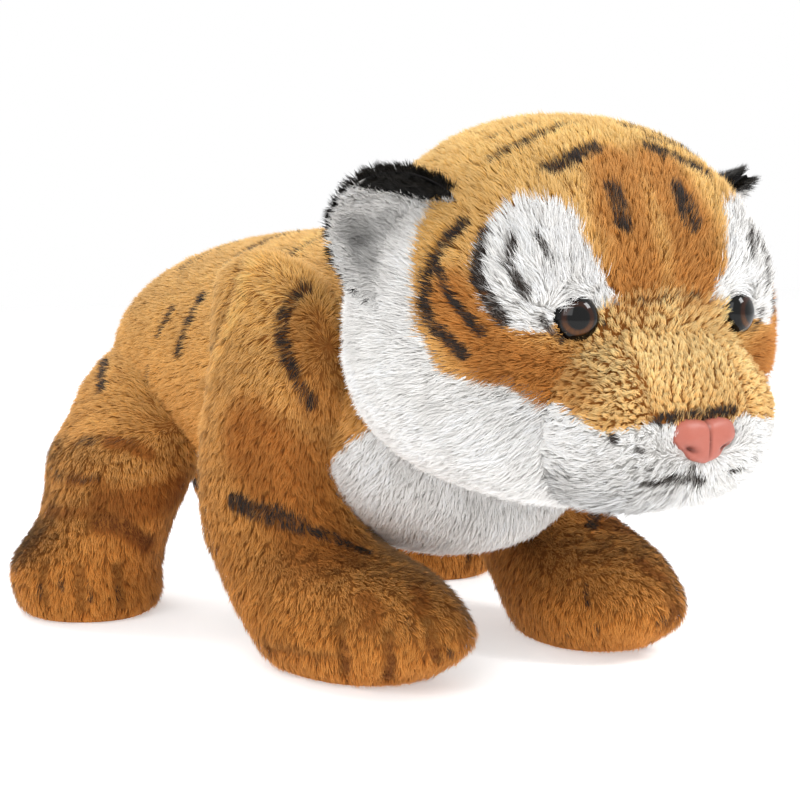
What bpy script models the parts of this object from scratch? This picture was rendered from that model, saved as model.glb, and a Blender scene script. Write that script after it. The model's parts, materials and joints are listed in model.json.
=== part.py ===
"""A plush tiger cub, about 45 cm long, standing on four paws with its head held low.

The toy is sewn from pile fabric panels over soft stuffing. Its snout points along -Y, up is +Z and
its own left side is +X. The origin lies on the floor under the middle of the toy. Lengths are metres.
"""
import math

import bmesh
import bpy
import numpy as np
from mathutils import Matrix, Vector

# Fabric, seams and fits
FABRIC = 0.0020           # pile fabric, pressed flat
SEAM_GAP = 0.0012         # crease between two panels, at the outside
STUFFING_GAP = 0.0005     # stuffing to the back of the fabric
FIT = 0.0003              # between pieces that touch
SWING_SLACK = 0.0005      # more room where a limb's end sweeps over another form
OVERRUN = 0.0100          # how far a cutter runs past what it cuts
MERGE = 0.00002           # merge distance of the turned shapes
CUTTER_SIDES = 12

# Torso
TORSO_FRONT_Y = -0.104
TORSO_LENGTH = 0.289
TORSO_WIDTH = 0.160
BELLY_HEIGHT = 0.050
BACK_HEIGHT = 0.193
# along, half width, bottom, top and widest height, from the chest to the rump
TORSO_SECTION_SHARES = [
    (0.000, 0.30, 0.28, 0.64, 0.46),
    (0.045, 0.62, 0.08, 0.82, 0.46),
    (0.153, 0.84, 0.00, 0.95, 0.47),
    (0.326, 0.93, 0.00, 0.99, 0.48),
    (0.500, 0.96, 0.05, 1.00, 0.49),
    (0.674, 0.99, 0.13, 0.98, 0.50),
    (0.812, 1.00, 0.18, 0.94, 0.51),
    (0.910, 0.88, 0.25, 0.86, 0.53),
    (0.972, 0.58, 0.36, 0.75, 0.55),
    (1.000, 0.17, 0.50, 0.66, 0.58),
]
TORSO_POWER = 2.2
# angles round the torso where the white belly ends, and how far along the higher chest piece runs
BELLY_EDGE_DEG = -36.0
CHEST_EDGE_DEG = 0.0
CHEST_SHARE = 0.12
TORSO_RINGS = 11
TORSO_SIDES = 20

# Neck: a ball of stuffing in its own band of fabric, between two hollow seats
NECK_BALL_RADIUS = 0.054
NECK_BEHIND_CHEST = 0.021
NECK_HEIGHT = 0.140
NECK_SLOT = 0.018         # between the shoulders and the back of the head
NECK_TILT_DEG = 15.0      # the slot leans, with its lower end forward
NECK_POLE_RADIUS = 0.018  # opening at each end of the band
NECK_RINGS = 8
NECK_STEPS = 24

# Head
HEAD_LENGTH = 0.125
HEAD_BEHIND_NECK = 0.008
HEAD_WIDTH = 0.174
HEAD_BELOW_NECK = 0.054   # middle of the neck down to the chin's level
HEAD_HEIGHT = 0.157
# along, half width, bottom, top and widest height, from the nape to the face
HEAD_SECTION_SHARES = [
    (0.000, 0.80, 0.12, 0.84, 0.40),
    (0.160, 0.94, 0.04, 0.95, 0.40),
    (0.360, 1.00, 0.01, 1.00, 0.40),
    (0.580, 1.00, 0.00, 0.99, 0.40),
    (0.760, 0.94, 0.01, 0.93, 0.41),
    (0.900, 0.77, 0.06, 0.80, 0.42),
    (0.975, 0.47, 0.17, 0.66, 0.43),
    (1.000, 0.16, 0.36, 0.50, 0.43),
]
HEAD_POWER = 2.3
# angles round the head where its panels meet, and how far along it the eye patch runs
CROWN_EDGE_DEG = 60.0
RUFF_EDGE_DEG = -15.0
RUFF_TOP_DEG = 30.0       # behind the mask the ruff rises to here
THROAT_EDGE_DEG = -75.0
MASK_EDGE_SHARE = 0.5
PATCH_LOW_DEG = 15.0
PATCH_SHARES = (0.64, 0.93)
HEAD_RINGS = 9
HEAD_SIDES = 24

# Muzzle, sewn on the front of the head
MUZZLE_LENGTH = 0.064
MUZZLE_REACH = 0.024      # past the front of the head
MUZZLE_WIDTH = 0.106
MUZZLE_RAISE = 0.001      # its lowest point above the head's
MUZZLE_HEIGHT = 0.079
MUZZLE_SECTION_SHARES = [
    (0.000, 0.92, 0.02, 1.00, 0.48),
    (0.350, 1.00, 0.00, 0.98, 0.48),
    (0.650, 0.97, 0.03, 0.87, 0.45),
    (0.860, 0.83, 0.11, 0.70, 0.42),
    (0.970, 0.54, 0.23, 0.53, 0.38),
    (1.000, 0.24, 0.31, 0.45, 0.38),
]
MUZZLE_POWER = 2.4
BRIDGE_EDGE_DEG = 45.0    # angles round the muzzle where its panels meet
LIP_EDGE_DEG = 0.0
MUZZLE_RINGS = 7
MUZZLE_SIDES = 16

# Ears
EAR_RADIUS = 0.028
EAR_CUP_DEPTH = 0.013
EAR_CURL = 0.010          # the upper rim bends forward by this much
EAR_ALONG_SHARE = 0.36    # along the head, from the nape
EAR_ANGLE_DEG = 25.5      # above the widest part of the head
EAR_STAND_OUT = 0.0045    # middle of the ear to the head
EAR_FACING_SHARES = (0.64, -0.75, -0.17)
EAR_BASE_SHARE = 0.42     # fold line to the ear's middle, as a share of its radius
EAR_BASE_LEAN_DEG = 43.0  # the fold line leans, with its lower end outwards
EAR_RINGS = 3
EAR_SIDES = 14

# Eyes
EYE_RADIUS = 0.0090
EYE_BACK_THICKNESS = 0.0018
EYE_DOME_HEIGHT = 0.0060
EYE_APART = 0.084
EYE_RAISE = 0.078         # above the head's lowest point
EYE_SINK = 0.0012         # the eye's back lies this far under the surface
EYE_TURN_OUT_DEG = 24.0
EYE_TURN_UP_DEG = 4.0
STEM_RADIUS = 0.0022
STEM_LENGTH = 0.0130
WASHER_RADIUS = 0.0080
WASHER_THICKNESS = 0.0020
WASHER_DEPTH = 0.0048     # from the eye's back to the washer's near face
EYE_RINGS = 5
TURNED_STEPS = 16

# Nose
NOSE_WIDTH = 0.028
NOSE_HEIGHT = 0.017
NOSE_PROUD = 0.0060
NOSE_RAISE = 0.0295       # its middle above the muzzle's lowest point
# half width and height offset of the nose's outline, right half, from the top middle down
NOSE_OUTLINE_SHARES = [
    (0.00, 0.50),
    (0.45, 0.54),
    (0.86, 0.46),
    (1.00, 0.20),
    (0.72, -0.12),
    (0.34, -0.38),
    (0.00, -0.50),
]
# size of the outline and its way out, from inside the muzzle to the tip
NOSE_LAYER_SHARES = [
    (0.80, -1.30),
    (1.00, 0.00),
    (0.97, 0.60),
    (0.72, 1.00),
]

# Legs: stance and heights
FRONT_STANCE = 0.132      # between the middles of the front paws
HIND_STANCE = 0.204
SHOULDER_Y = -0.027
SHOULDER_TOP_Z = 0.184
FRONT_PAW_Y = -0.077
HIP_Y = 0.138
HIP_TOP_Z = 0.140
HIND_PAW_Y = 0.134
FRONT_TOE_OUT_DEG = -10.0
HIND_TOE_OUT_DEG = 28.0
FRONT_LEG_WIDTH = 0.058
FRONT_LEG_LENGTH = 0.132  # of the front paw, heel to toe
HIND_LEG_WIDTH = 0.060
HIND_LEG_LENGTH = 0.096
# height, outward lean, way from shoulder to paw, extra way back, half width, half length
FRONT_LEG_SECTION_SHARES = [
    (0.000, 1.00, 1.00, 0.12, 0.74, 0.50),
    (0.045, 1.00, 1.00, 0.08, 0.98, 0.75),
    (0.140, 1.00, 1.00, 0.08, 1.17, 0.98),
    (0.255, 0.60, 0.70, 0.18, 1.03, 0.93),
    (0.365, 0.20, 0.20, 0.24, 1.00, 0.58),
    (0.620, 0.00, 0.00, 0.05, 1.00, 0.67),
    (0.810, 0.00, 0.00, 0.08, 0.86, 0.58),
    (0.940, -0.45, 0.00, 0.13, 0.60, 0.44),
    (1.000, -0.85, 0.00, 0.14, 0.20, 0.16),
]
HIND_LEG_SECTION_SHARES = [
    (0.000, 1.00, 1.00, -0.02, 0.97, 0.75),
    (0.050, 1.00, 1.00, -0.01, 1.14, 0.90),
    (0.165, 1.00, 1.00, 0.00, 1.18, 0.98),
    (0.305, 0.80, 0.60, -0.07, 1.02, 1.00),
    (0.430, 0.64, 0.30, -0.10, 0.98, 1.08),
    (0.550, 0.50, 0.10, -0.12, 1.03, 1.04),
    (0.690, 0.22, 0.00, -0.12, 0.95, 0.93),
    (0.820, 0.00, 0.00, -0.05, 0.85, 0.73),
    (0.930, -0.22, 0.00, -0.01, 0.58, 0.48),
    (1.000, -0.36, 0.00, 0.00, 0.18, 0.16),
]
LEG_POWER = 2.2
LEG_RINGS = 10
LEG_SIDES = 10
SHOULDER_OUT_SHARE = 0.90  # middle of the shoulder, as a share of the torso's half width
HIP_OUT_SHARE = 0.86
FRONT_AXIS_Z = 0.115
HIND_AXIS_Z = 0.098

# Tail
TAIL_RADIUS = 0.0110
TAIL_ROOT_Z = 0.150
TAIL_DROP = 0.132         # root to tip, downwards
TAIL_BACK = 0.0466        # root to the rearmost point, past the rump
TAIL_SIDE = 0.044         # root to tip, towards the toy's left
# sideways, backwards and downwards shares of the tail's middle line, and its radius
TAIL_PATH_SHARES = [
    (0.00, -0.40, 0.00, 0.90),
    (0.00, 0.25, 0.04, 0.96),
    (0.02, 0.60, 0.20, 1.00),
    (0.08, 0.72, 0.40, 1.00),
    (0.22, 0.73, 0.60, 1.00),
    (0.46, 0.72, 0.80, 1.02),
    (0.76, 0.70, 0.93, 1.06),
    (0.94, 0.69, 0.99, 0.86),
    (1.00, 0.69, 1.00, 0.36),
]
TAIL_JOINT_SHARE = 0.42   # where the lower half begins, along the tail
TAIL_TIP_SHARE = 0.80     # where the black tip begins
TAIL_SIDES = 10
TAIL_BASE_RINGS = 6
TAIL_END_RINGS = 6
TAIL_TIP_RINGS = 4
TAIL_DOME_RINGS = 3
TAIL_SEAT_RINGS = 9
TAIL_STEP_SHARE = 0.01    # step that finds the way of the tail's middle line
TAIL_ROLL_SHARES = (0.0, 1.0, 0.35)

# colour, roughness and metallic value of each finish
FINISHES = {
    "tan_plush": ((0.52, 0.21, 0.045, 1), 0.95, 0.0),
    "white_plush": ((0.84, 0.83, 0.80, 1), 0.95, 0.0),
    "black_plush": ((0.012, 0.011, 0.011, 1), 0.95, 0.0),
    "stuffing": ((0.88, 0.88, 0.86, 1), 1.0, 0.0),
    "eye_plastic": ((0.030, 0.012, 0.005, 1), 0.08, 0.0),
    "eye_lens": ((0.25, 0.10, 0.03, 1), 0.03, 0.0),
    "nose_plastic": ((0.72, 0.27, 0.25, 1), 0.35, 0.0),
    "washer_plastic": ((0.75, 0.75, 0.72, 1), 0.5, 0.0),
}

# how far the soft joints bend each way from rest
LEG_SWING_DEG = 12.0
EAR_FOLD_DEG = 15.0
TAIL_LIFT_DEG = 25.0
TAIL_DROP_DEG = 5.0
TAIL_SWING_DEG = 20.0

TOY_NAME = "plush_tiger"


# Scene and materials


def clear_scene():
    for ob in list(bpy.data.objects):
        bpy.data.objects.remove(ob, do_unlink=True)


def new_collection(name):
    found = bpy.data.collections.new(name)
    bpy.context.scene.collection.children.link(found)
    return found


def finish(name):
    mat = bpy.data.materials.get(name)
    if mat is None:
        colour, rough, metal = FINISHES[name]
        mat = bpy.data.materials.new(name)
        mat.use_nodes = True
        shader = mat.node_tree.nodes["Principled BSDF"]
        shader.inputs["Base Color"].default_value = colour
        shader.inputs["Roughness"].default_value = rough
        shader.inputs["Metallic"].default_value = metal
        mat.diffuse_color = colour
    return mat


def link_mesh(name, bm, look, collection):
    mesh = bpy.data.meshes.new(name)
    bm.to_mesh(mesh)
    bm.free()
    mesh.shade_smooth()
    ob = bpy.data.objects.new(name, mesh)
    collection.objects.link(ob)
    if look:
        mesh.materials.append(finish(look))
    else:
        ob.hide_render = True
        ob.display_type = "WIRE"
    return ob


# Modifiers


def add_wall(ob, thickness=FABRIC):
    """Gives an open sheet its thickness, inwards."""
    wall = ob.modifiers.new("fabric", "SOLIDIFY")
    wall.thickness = thickness
    wall.offset = -1.0


def cut(ob, *cutters):
    for cutter in cutters:
        step = ob.modifiers.new("cut_by_" + cutter.name, "BOOLEAN")
        step.operation = "DIFFERENCE"
        step.solver = "EXACT"
        step.object = cutter


def join(ob, other):
    step = ob.modifiers.new("joined_to_" + other.name, "BOOLEAN")
    step.operation = "UNION"
    step.solver = "EXACT"
    step.object = other


def turn(name, profile, look, collection, closed=False, steps=TURNED_STEPS):
    """A turned piece: a profile in the XZ plane carried round Z."""
    mesh = bpy.data.meshes.new(name)
    edges = [(k, k + 1) for k in range(len(profile) - 1)]
    if closed:
        edges.append((len(profile) - 1, 0))
    mesh.from_pydata([(r, 0, z) for r, z in profile], edges, [])
    ob = bpy.data.objects.new(name, mesh)
    collection.objects.link(ob)
    screw = ob.modifiers.new("turned", "SCREW")
    screw.steps = steps
    screw.render_steps = steps
    screw.use_merge_vertices = True
    screw.merge_threshold = MERGE
    if look:
        mesh.materials.append(finish(look))
    else:
        ob.hide_render = True
        ob.display_type = "WIRE"
    return ob


# Section tables and grids


def spline(table, places):
    """Rows of a table read between its rows, on a smooth curve through them."""
    rows = np.array(table, float)
    places = np.asarray(places, float)
    before = np.clip(np.floor(places).astype(int), 0, len(rows) - 2)
    part = (places - before)[:, None]
    slope = np.gradient(rows, axis=0)
    a, b = rows[before], rows[before + 1]
    da, db = slope[before], slope[before + 1]
    return (
        a * (2 * part**3 - 3 * part**2 + 1)
        + da * (part**3 - 2 * part**2 + part)
        + b * (3 * part**2 - 2 * part**3)
        + db * (part**3 - part**2)
    )


def rounded(angles, power):
    """Cosine and sine of a rounded square, from a circle at power 2 to a square."""
    c, s = np.cos(angles), np.sin(angles)
    return np.sign(c) * np.abs(c) ** (2 / power), np.sign(s) * np.abs(s) ** (2 / power)


def sides_of(count):
    return np.arange(count) * 2 * math.pi / count


def body_grid(table, places, sides, power, start_y, length, width, bottom, top):
    """Rings that follow Y. Each has a half width, a bottom, a top and a height where it is widest."""
    row = spline(table, places)
    c, s = rounded(sides_of(sides), power)
    low = bottom + row[:, 2:3] * (top - bottom)
    high = bottom + row[:, 3:4] * (top - bottom)
    middle = bottom + row[:, 4:5] * (top - bottom)
    x = row[:, 1:2] * width / 2 * c
    y = start_y + row[:, 0:1] * length + 0 * c
    z = middle + np.where(s > 0, (high - middle) * s, (middle - low) * s)
    return np.stack([x, y, z], -1)


def torso_grid(places=None):
    places = np.linspace(0, len(TORSO_SECTION_SHARES) - 1, TORSO_RINGS) if places is None else places
    return body_grid(TORSO_SECTION_SHARES, places, TORSO_SIDES, TORSO_POWER, TORSO_FRONT_Y,
                     TORSO_LENGTH, TORSO_WIDTH, BELLY_HEIGHT, BACK_HEIGHT)


def neck_centre():
    return Vector((0, TORSO_FRONT_Y + NECK_BEHIND_CHEST, NECK_HEIGHT))


def head_rear_y():
    return neck_centre().y + HEAD_BEHIND_NECK


def head_front_y():
    return head_rear_y() - HEAD_LENGTH


def head_bottom():
    return NECK_HEIGHT - HEAD_BELOW_NECK


def muzzle_bottom():
    return head_bottom() + MUZZLE_RAISE


def head_grid():
    places = np.linspace(0, len(HEAD_SECTION_SHARES) - 1, HEAD_RINGS)
    return body_grid(HEAD_SECTION_SHARES, places, HEAD_SIDES, HEAD_POWER, head_rear_y(),
                     -HEAD_LENGTH, HEAD_WIDTH, head_bottom(), head_bottom() + HEAD_HEIGHT)


def muzzle_grid():
    places = np.linspace(0, len(MUZZLE_SECTION_SHARES) - 1, MUZZLE_RINGS)
    start = head_front_y() - MUZZLE_REACH + MUZZLE_LENGTH
    return body_grid(MUZZLE_SECTION_SHARES, places, MUZZLE_SIDES, MUZZLE_POWER, start,
                     -MUZZLE_LENGTH, MUZZLE_WIDTH, muzzle_bottom(), muzzle_bottom() + MUZZLE_HEIGHT)


def leg_grid(side, table, top_z, root, paw, toe_out, width, length):
    """Level rings from the sole up. Their middles go from the paw to the root of the leg."""
    places = np.linspace(0, len(table) - 1, LEG_RINGS)
    row = spline(table, places)
    foot = FABRIC + FIT
    z = foot + row[:, 0:1] * (top_z - foot)
    x = root[0] + row[:, 1:2] * (paw[0] - root[0])
    y = root[1] + row[:, 2:3] * (paw[1] - root[1]) + row[:, 3:4] * length
    turned = -side * toe_out * np.clip(row[:, 2:3], 0, 1)
    c, s = rounded(sides_of(LEG_SIDES), LEG_POWER)
    across, along = row[:, 4:5] * width / 2 * c, row[:, 5:6] * length / 2 * s
    px = side * x + across * np.cos(turned) + along * np.sin(turned)
    py = y - across * np.sin(turned) + along * np.cos(turned)
    return np.stack([px, py, z + 0 * c], -1)


# Meshes from grids


def faces_of(rows, columns, used=None, flip=False):
    """Cells of a grid that closes round its columns, as faces."""
    faces = []
    for i in range(rows - 1):
        for j in range(columns):
            if used is None or used[i, j]:
                k = (j + 1) % columns
                face = (i * columns + j, (i + 1) * columns + j, (i + 1) * columns + k, i * columns + k)
                faces.append(face[::-1] if flip else face)
    return faces


def points_inward(grid):
    """True if the faces of the grid, taken as they come, look into the form."""
    rows, columns = grid.shape[:2]
    flat = grid.reshape(-1, 3)
    middle = flat.mean(0)
    total = 0.0
    for a, b, c, d in faces_of(rows, columns):
        p, q, r, s = flat[[a, b, c, d]] - middle
        total += float(np.dot(p, np.cross(q, r)) + np.dot(p, np.cross(r, s)))
    return total < 0


def grid_bmesh(grid, used=None, first_cap=False, last_cap=False):
    rows, columns = grid.shape[:2]
    flip = points_inward(grid)
    bm = bmesh.new()
    verts = [bm.verts.new(p) for p in grid.reshape(-1, 3)]
    for face in faces_of(rows, columns, used, flip):
        bm.faces.new([verts[k] for k in face])
    ring = list(range(columns))
    if first_cap:
        cap = ring if not flip else ring[::-1]
        bm.faces.new([verts[k] for k in cap])
    if last_cap:
        cap = [(rows - 1) * columns + k for k in ring]
        bm.faces.new([verts[k] for k in (cap[::-1] if not flip else cap)])
    loose = [v for v in bm.verts if not v.link_faces]
    bmesh.ops.delete(bm, geom=loose, context="VERTS")
    bmesh.ops.triangulate(bm, faces=bm.faces, quad_method="FIXED", ngon_method="EAR_CLIP")
    bm.normal_update()
    return bm


def shift_borders(bm, distance):
    """Moves each border vertex into its own panel, so that neighbours leave a crease."""
    moves = []
    for v in bm.verts:
        if v.is_boundary:
            middle = sum((f.calc_center_median() for f in v.link_faces), Vector()) / len(v.link_faces)
            way = middle - v.co
            across = [e for e in v.link_edges if e.is_boundary]
            along = (across[0].other_vert(v).co - across[1].other_vert(v).co).normalized()
            inward = way - way.dot(along) * along
            moves.append((v, inward.normalized() * distance))
    for v, move in moves:
        v.co += move


def solid_form(name, grid, grow, look, collection):
    """A closed form whose whole surface moves out by grow, or in where grow is negative."""
    bm = grid_bmesh(grid, first_cap=True, last_cap=True)
    for v in bm.verts:
        v.co += v.normal * v.calc_shell_factor() * grow
    return link_mesh(name, bm, look, collection)


def skin_panel(name, grid, used, look, collection, first_cap=False, last_cap=False):
    """One sewn panel: some cells of a form's surface, with the fabric's thickness."""
    bm = grid_bmesh(grid, used, first_cap, last_cap)
    shift_borders(bm, SEAM_GAP / 2)
    ob = link_mesh(name, bm, look, collection)
    add_wall(ob)
    return ob


def cells_between(rows, columns, start_deg, end_deg, first=0.0, last=1.0):
    """Cells whose middle lies between two angles and two shares of the rows."""
    middle = (np.arange(columns) + 0.5) * 360 / columns
    offset = (middle - start_deg) % 360
    inside = offset < (end_deg - start_deg)
    along = (np.arange(rows - 1) + 0.5) / (rows - 1)
    rowed = (along > first) & (along < last)
    return rowed[:, None] & inside[None, :]


def mirrored(used):
    """The same cells on the other side of the middle plane, where an angle becomes 180 less itself."""
    columns = used.shape[1]
    order = (columns // 2 - 1 - np.arange(columns)) % columns
    return used[:, order]


def box_cutter(name, size, matrix, collection):
    bm = bmesh.new()
    bmesh.ops.create_cube(bm, size=1.0)
    bmesh.ops.scale(bm, vec=size, verts=bm.verts)
    ob = link_mesh(name, bm, None, collection)
    ob.matrix_world = matrix
    return ob


def cylinder_cutter(name, radius, depth, matrix, collection):
    bm = bmesh.new()
    bmesh.ops.create_cone(
        bm, cap_ends=True, segments=CUTTER_SIDES, radius1=radius, radius2=radius, depth=depth
    )
    ob = link_mesh(name, bm, None, collection)
    ob.matrix_world = matrix
    return ob


def swung(name, cutter, place, axis, degrees, tools):
    """A cutter as a swinging piece meets it at one end of its swing about an axis."""
    bpy.context.view_layer.update()
    seen = cutter.evaluated_get(bpy.context.evaluated_depsgraph_get())
    ob = bpy.data.objects.new(name, bpy.data.meshes.new_from_object(seen))
    tools.objects.link(ob)
    ob.hide_render = True
    ob.display_type = "WIRE"
    turned = Matrix.Rotation(math.radians(degrees), 4, axis)
    there = Matrix.Translation(place)
    ob.matrix_world = there @ turned @ there.inverted() @ cutter.matrix_world
    return ob


def cleared(cutter, label, place, axis, angles, tools):
    """The cutter at rest and at both ends of a swing."""
    ends = [
        swung(f"{label}_{word}", cutter, place, axis, degrees, tools)
        for word, degrees in zip(("low", "high"), angles)
    ]
    return [cutter, *ends]


def empty_at(name, place, collection, parent=None):
    ob = bpy.data.objects.new(name, None)
    ob.empty_display_size = OVERRUN
    collection.objects.link(ob)
    ob.location = place
    if parent:
        hang(ob, parent)
    return ob


def hang(ob, parent):
    """Parents an object and leaves it where it is."""
    bpy.context.view_layer.update()
    world = ob.matrix_world.copy()
    ob.parent = parent
    ob.matrix_parent_inverse = parent.matrix_world.inverted()
    ob.matrix_world = world


# Pieces


def neck_frame():
    """Local Z runs from the torso to the head along the neck."""
    tilt = math.radians(90 - NECK_TILT_DEG)
    return Matrix.Translation(neck_centre()) @ Matrix.Rotation(tilt, 4, "X")


def leg_root(front):
    share = SHOULDER_OUT_SHARE if front else HIP_OUT_SHARE
    return (share * TORSO_WIDTH / 2, SHOULDER_Y if front else HIP_Y)


def leg_axis(front):
    """A point on a leg's swing axis, on the toy's left."""
    x, y = leg_root(front)
    return Vector((x, y, FRONT_AXIS_Z if front else HIND_AXIS_Z))


def half_space(name, frame, offset, forward, collection):
    """A block on one side of a plane across the neck."""
    size = 2 * (NECK_HEIGHT + HEAD_HEIGHT)
    shift = offset + (size / 2 if forward else -size / 2)
    return box_cutter(name, (size, size, size), frame @ Matrix.Translation((0, 0, shift)), collection)


def make_torso(toy, neck_room):
    grid = torso_grid()
    rows, sides = grid.shape[:2]
    left = cells_between(rows, sides, BELLY_EDGE_DEG, 90, first=CHEST_SHARE)
    left |= cells_between(rows, sides, CHEST_EDGE_DEG, 90, last=CHEST_SHARE)
    right = mirrored(left)
    panels = {
        "torso_side_left": (left, "tan_plush"),
        "torso_side_right": (right, "tan_plush"),
        "torso_belly": (~(left | right), "white_plush"),
    }
    made = [skin_panel(name, grid, used, look, toy) for name, (used, look) in panels.items()]
    made.append(solid_form("torso_stuffing", grid, -FABRIC - STUFFING_GAP, "stuffing", toy))
    for ob in made:
        cut(ob, neck_room)
    return made


def neck_angles():
    """Rings of the neck's band, as angles from the line of the neck."""
    opening = math.asin(NECK_POLE_RADIUS / NECK_BALL_RADIUS)
    return np.linspace(opening, math.pi - opening, NECK_RINGS)


def neck_arc(radius, angles):
    return [(radius * math.sin(a), radius * math.cos(a)) for a in angles]


def make_neck(toy, frame):
    """Its band is open at both ends, round the line of the neck."""
    outer = neck_arc(NECK_BALL_RADIUS, neck_angles())
    inner = neck_arc(NECK_BALL_RADIUS - FABRIC, neck_angles())
    band = turn("neck_band", outer + inner[::-1], "tan_plush", toy, closed=True, steps=NECK_STEPS)
    core = NECK_BALL_RADIUS - FABRIC - STUFFING_GAP
    arc = neck_arc(core, [0, *neck_angles(), math.pi])
    ball = turn("neck_stuffing", arc, "stuffing", toy, steps=NECK_STEPS)
    band.matrix_world = frame
    ball.matrix_world = frame
    return [band, ball]


def neck_seat(frame, tools):
    """Hollow in which the faceted ball can turn every way. Its flats face the ball's corners."""
    angles = neck_angles()
    half_ring = (angles[1] - angles[0]) / 2
    half_step = math.pi / NECK_STEPS
    radius = NECK_BALL_RADIUS / (math.cos(half_ring) * math.cos(half_step)) + FIT
    near_pole = angles[0] / 2
    rings = [0, near_pole, *(angles[:-1] + half_ring), math.pi - near_pole, math.pi]
    arc = neck_arc(radius, rings)
    seat = turn("neck_seat", arc, None, tools, steps=NECK_STEPS)
    seat.matrix_world = frame @ Matrix.Rotation(half_step, 4, "Z")
    return seat


def surface_at(grid, along_share, angle_deg):
    """A point on a form's surface and its outward normal."""
    rows, sides = grid.shape[:2]
    i, j = along_share * (rows - 1), angle_deg % 360 / 360 * sides
    a, b = int(min(i, rows - 2)), int(j) % sides
    u, v = i - a, j - int(j)
    p, q = grid[a, b], grid[a + 1, b]
    r, s = grid[a + 1, (b + 1) % sides], grid[a, (b + 1) % sides]
    point = p * (1 - u) * (1 - v) + q * u * (1 - v) + r * u * v + s * (1 - u) * v
    normal = np.cross(r - p, q - s)
    middle = grid.reshape(-1, 3).mean(0)
    if np.dot(normal, point - middle) < 0:
        normal = -normal
    return Vector(point), Vector(normal).normalized()


def frame_on(place, facing, up=Vector((0, 0, 1))):
    """Local Z looks along facing, and local Y is as near to up as it can be."""
    z = facing.normalized()
    x = up.cross(z).normalized()
    y = z.cross(x)
    rotation = Matrix((x, y, z)).transposed().to_4x4()
    return Matrix.Translation(place) @ rotation


def front_of(grid, x, z):
    """Where a line along Y at this x and z meets the front of a form, or its flat front end."""
    rows, sides = grid.shape[:2]
    flat = grid.reshape(-1, 3)
    best = None
    for face in faces_of(rows, sides):
        for corners in ((0, 1, 2), (0, 2, 3)):
            p, q, r = (flat[face[k]] for k in corners)
            m = np.array([[q[0] - p[0], r[0] - p[0]], [q[2] - p[2], r[2] - p[2]]])
            if abs(np.linalg.det(m)) < 1e-12:
                continue
            u, v = np.linalg.solve(m, [x - p[0], z - p[2]])
            if u >= 0 and v >= 0 and u + v <= 1:
                y = p[1] + u * (q[1] - p[1]) + v * (r[1] - p[1])
                best = y if best is None else min(best, y)
    return float(grid[-1, :, 1].min()) if best is None else float(best)


def eye_frame(side, grid):
    x, z = EYE_APART / 2, head_bottom() + EYE_RAISE
    y = front_of(grid, x, z)
    out, up = math.radians(EYE_TURN_OUT_DEG), math.radians(EYE_TURN_UP_DEG)
    facing = Vector((side * math.sin(out), -math.cos(out), math.sin(up))).normalized()
    place = Vector((side * x, y, z)) - EYE_SINK * facing
    return frame_on(place, facing)


def make_eye(name, matrix, toy):
    base = EYE_BACK_THICKNESS + FIT
    dome = [
        (EYE_RADIUS * math.sin(a), base + EYE_DOME_HEIGHT * math.cos(a))
        for a in np.linspace(0, math.pi / 2, EYE_RINGS)
    ]
    lens = turn(name + "_lens", dome + [(0, base)], "eye_lens", toy)
    back_profile = [
        (0, EYE_BACK_THICKNESS),
        (EYE_RADIUS, EYE_BACK_THICKNESS),
        (EYE_RADIUS, 0),
        (STEM_RADIUS, 0),
        (STEM_RADIUS, -STEM_LENGTH),
        (0, -STEM_LENGTH),
    ]
    back = turn(name + "_back", back_profile, "eye_plastic", toy)
    washer = make_washer(name + "_washer", toy)
    for ob in (lens, back, washer):
        ob.matrix_world = matrix
    return [lens, back, washer]


def make_washer(name, toy):
    near, far = -WASHER_DEPTH, -WASHER_DEPTH - WASHER_THICKNESS
    hole = STEM_RADIUS + FIT
    profile = [(hole, near), (WASHER_RADIUS, near), (WASHER_RADIUS, far), (hole, far)]
    return turn(name, profile, "washer_plastic", toy, closed=True)


def button_room(name, matrix, disc_radius, tools):
    """Room for a button's disc, stem and washer, as one turned cutter."""
    disc, stem, washer = disc_radius + FIT, STEM_RADIUS + FIT, WASHER_RADIUS + FIT
    near, far = -WASHER_DEPTH + FIT, -WASHER_DEPTH - WASHER_THICKNESS - FIT
    end = -STEM_LENGTH - FIT
    top = OVERRUN
    profile = [(0, top), (disc, top), (disc, -FIT), (stem, -FIT), (stem, near), (washer, near),
               (washer, far), (stem, far), (stem, end), (0, end)]
    ob = turn(name, profile, None, tools)
    ob.matrix_world = matrix
    return ob


def nose_outline():
    """The nose seen from the front, right half then left half, going round once."""
    right = [(s * NOSE_WIDTH / 2, h * NOSE_HEIGHT) for s, h in NOSE_OUTLINE_SHARES]
    left = [(-x, z) for x, z in right[-2:0:-1]]
    return right + left


def make_nose(toy, tools, grid, head_cut):
    """A moulded nose on the muzzle's front, with a stem that a washer holds inside."""
    middle_z = muzzle_bottom() + NOSE_RAISE
    front = front_of(grid, 0, middle_z)
    outline = nose_outline()
    rings = [
        [(x * size, front - way * NOSE_PROUD, middle_z + z * size) for x, z in outline]
        for size, way in NOSE_LAYER_SHARES
    ]
    nose = solid_form("nose", np.array(rings), 0, "nose_plastic", toy)
    cut(nose, head_cut)
    seat = Vector((0, front + EYE_SINK, middle_z))
    matrix = frame_on(seat, Vector((0, -1, 0)))
    middle = Matrix.Translation((0, 0, (NOSE_PROUD - STEM_LENGTH) / 2))
    stem = cylinder_cutter("nose_stem", STEM_RADIUS, STEM_LENGTH + NOSE_PROUD, matrix @ middle, tools)
    join(nose, stem)
    washer = make_washer("nose_washer", toy)
    washer.matrix_world = matrix
    return [nose, washer], button_room("nose_room", matrix, STEM_RADIUS, tools)


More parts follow.
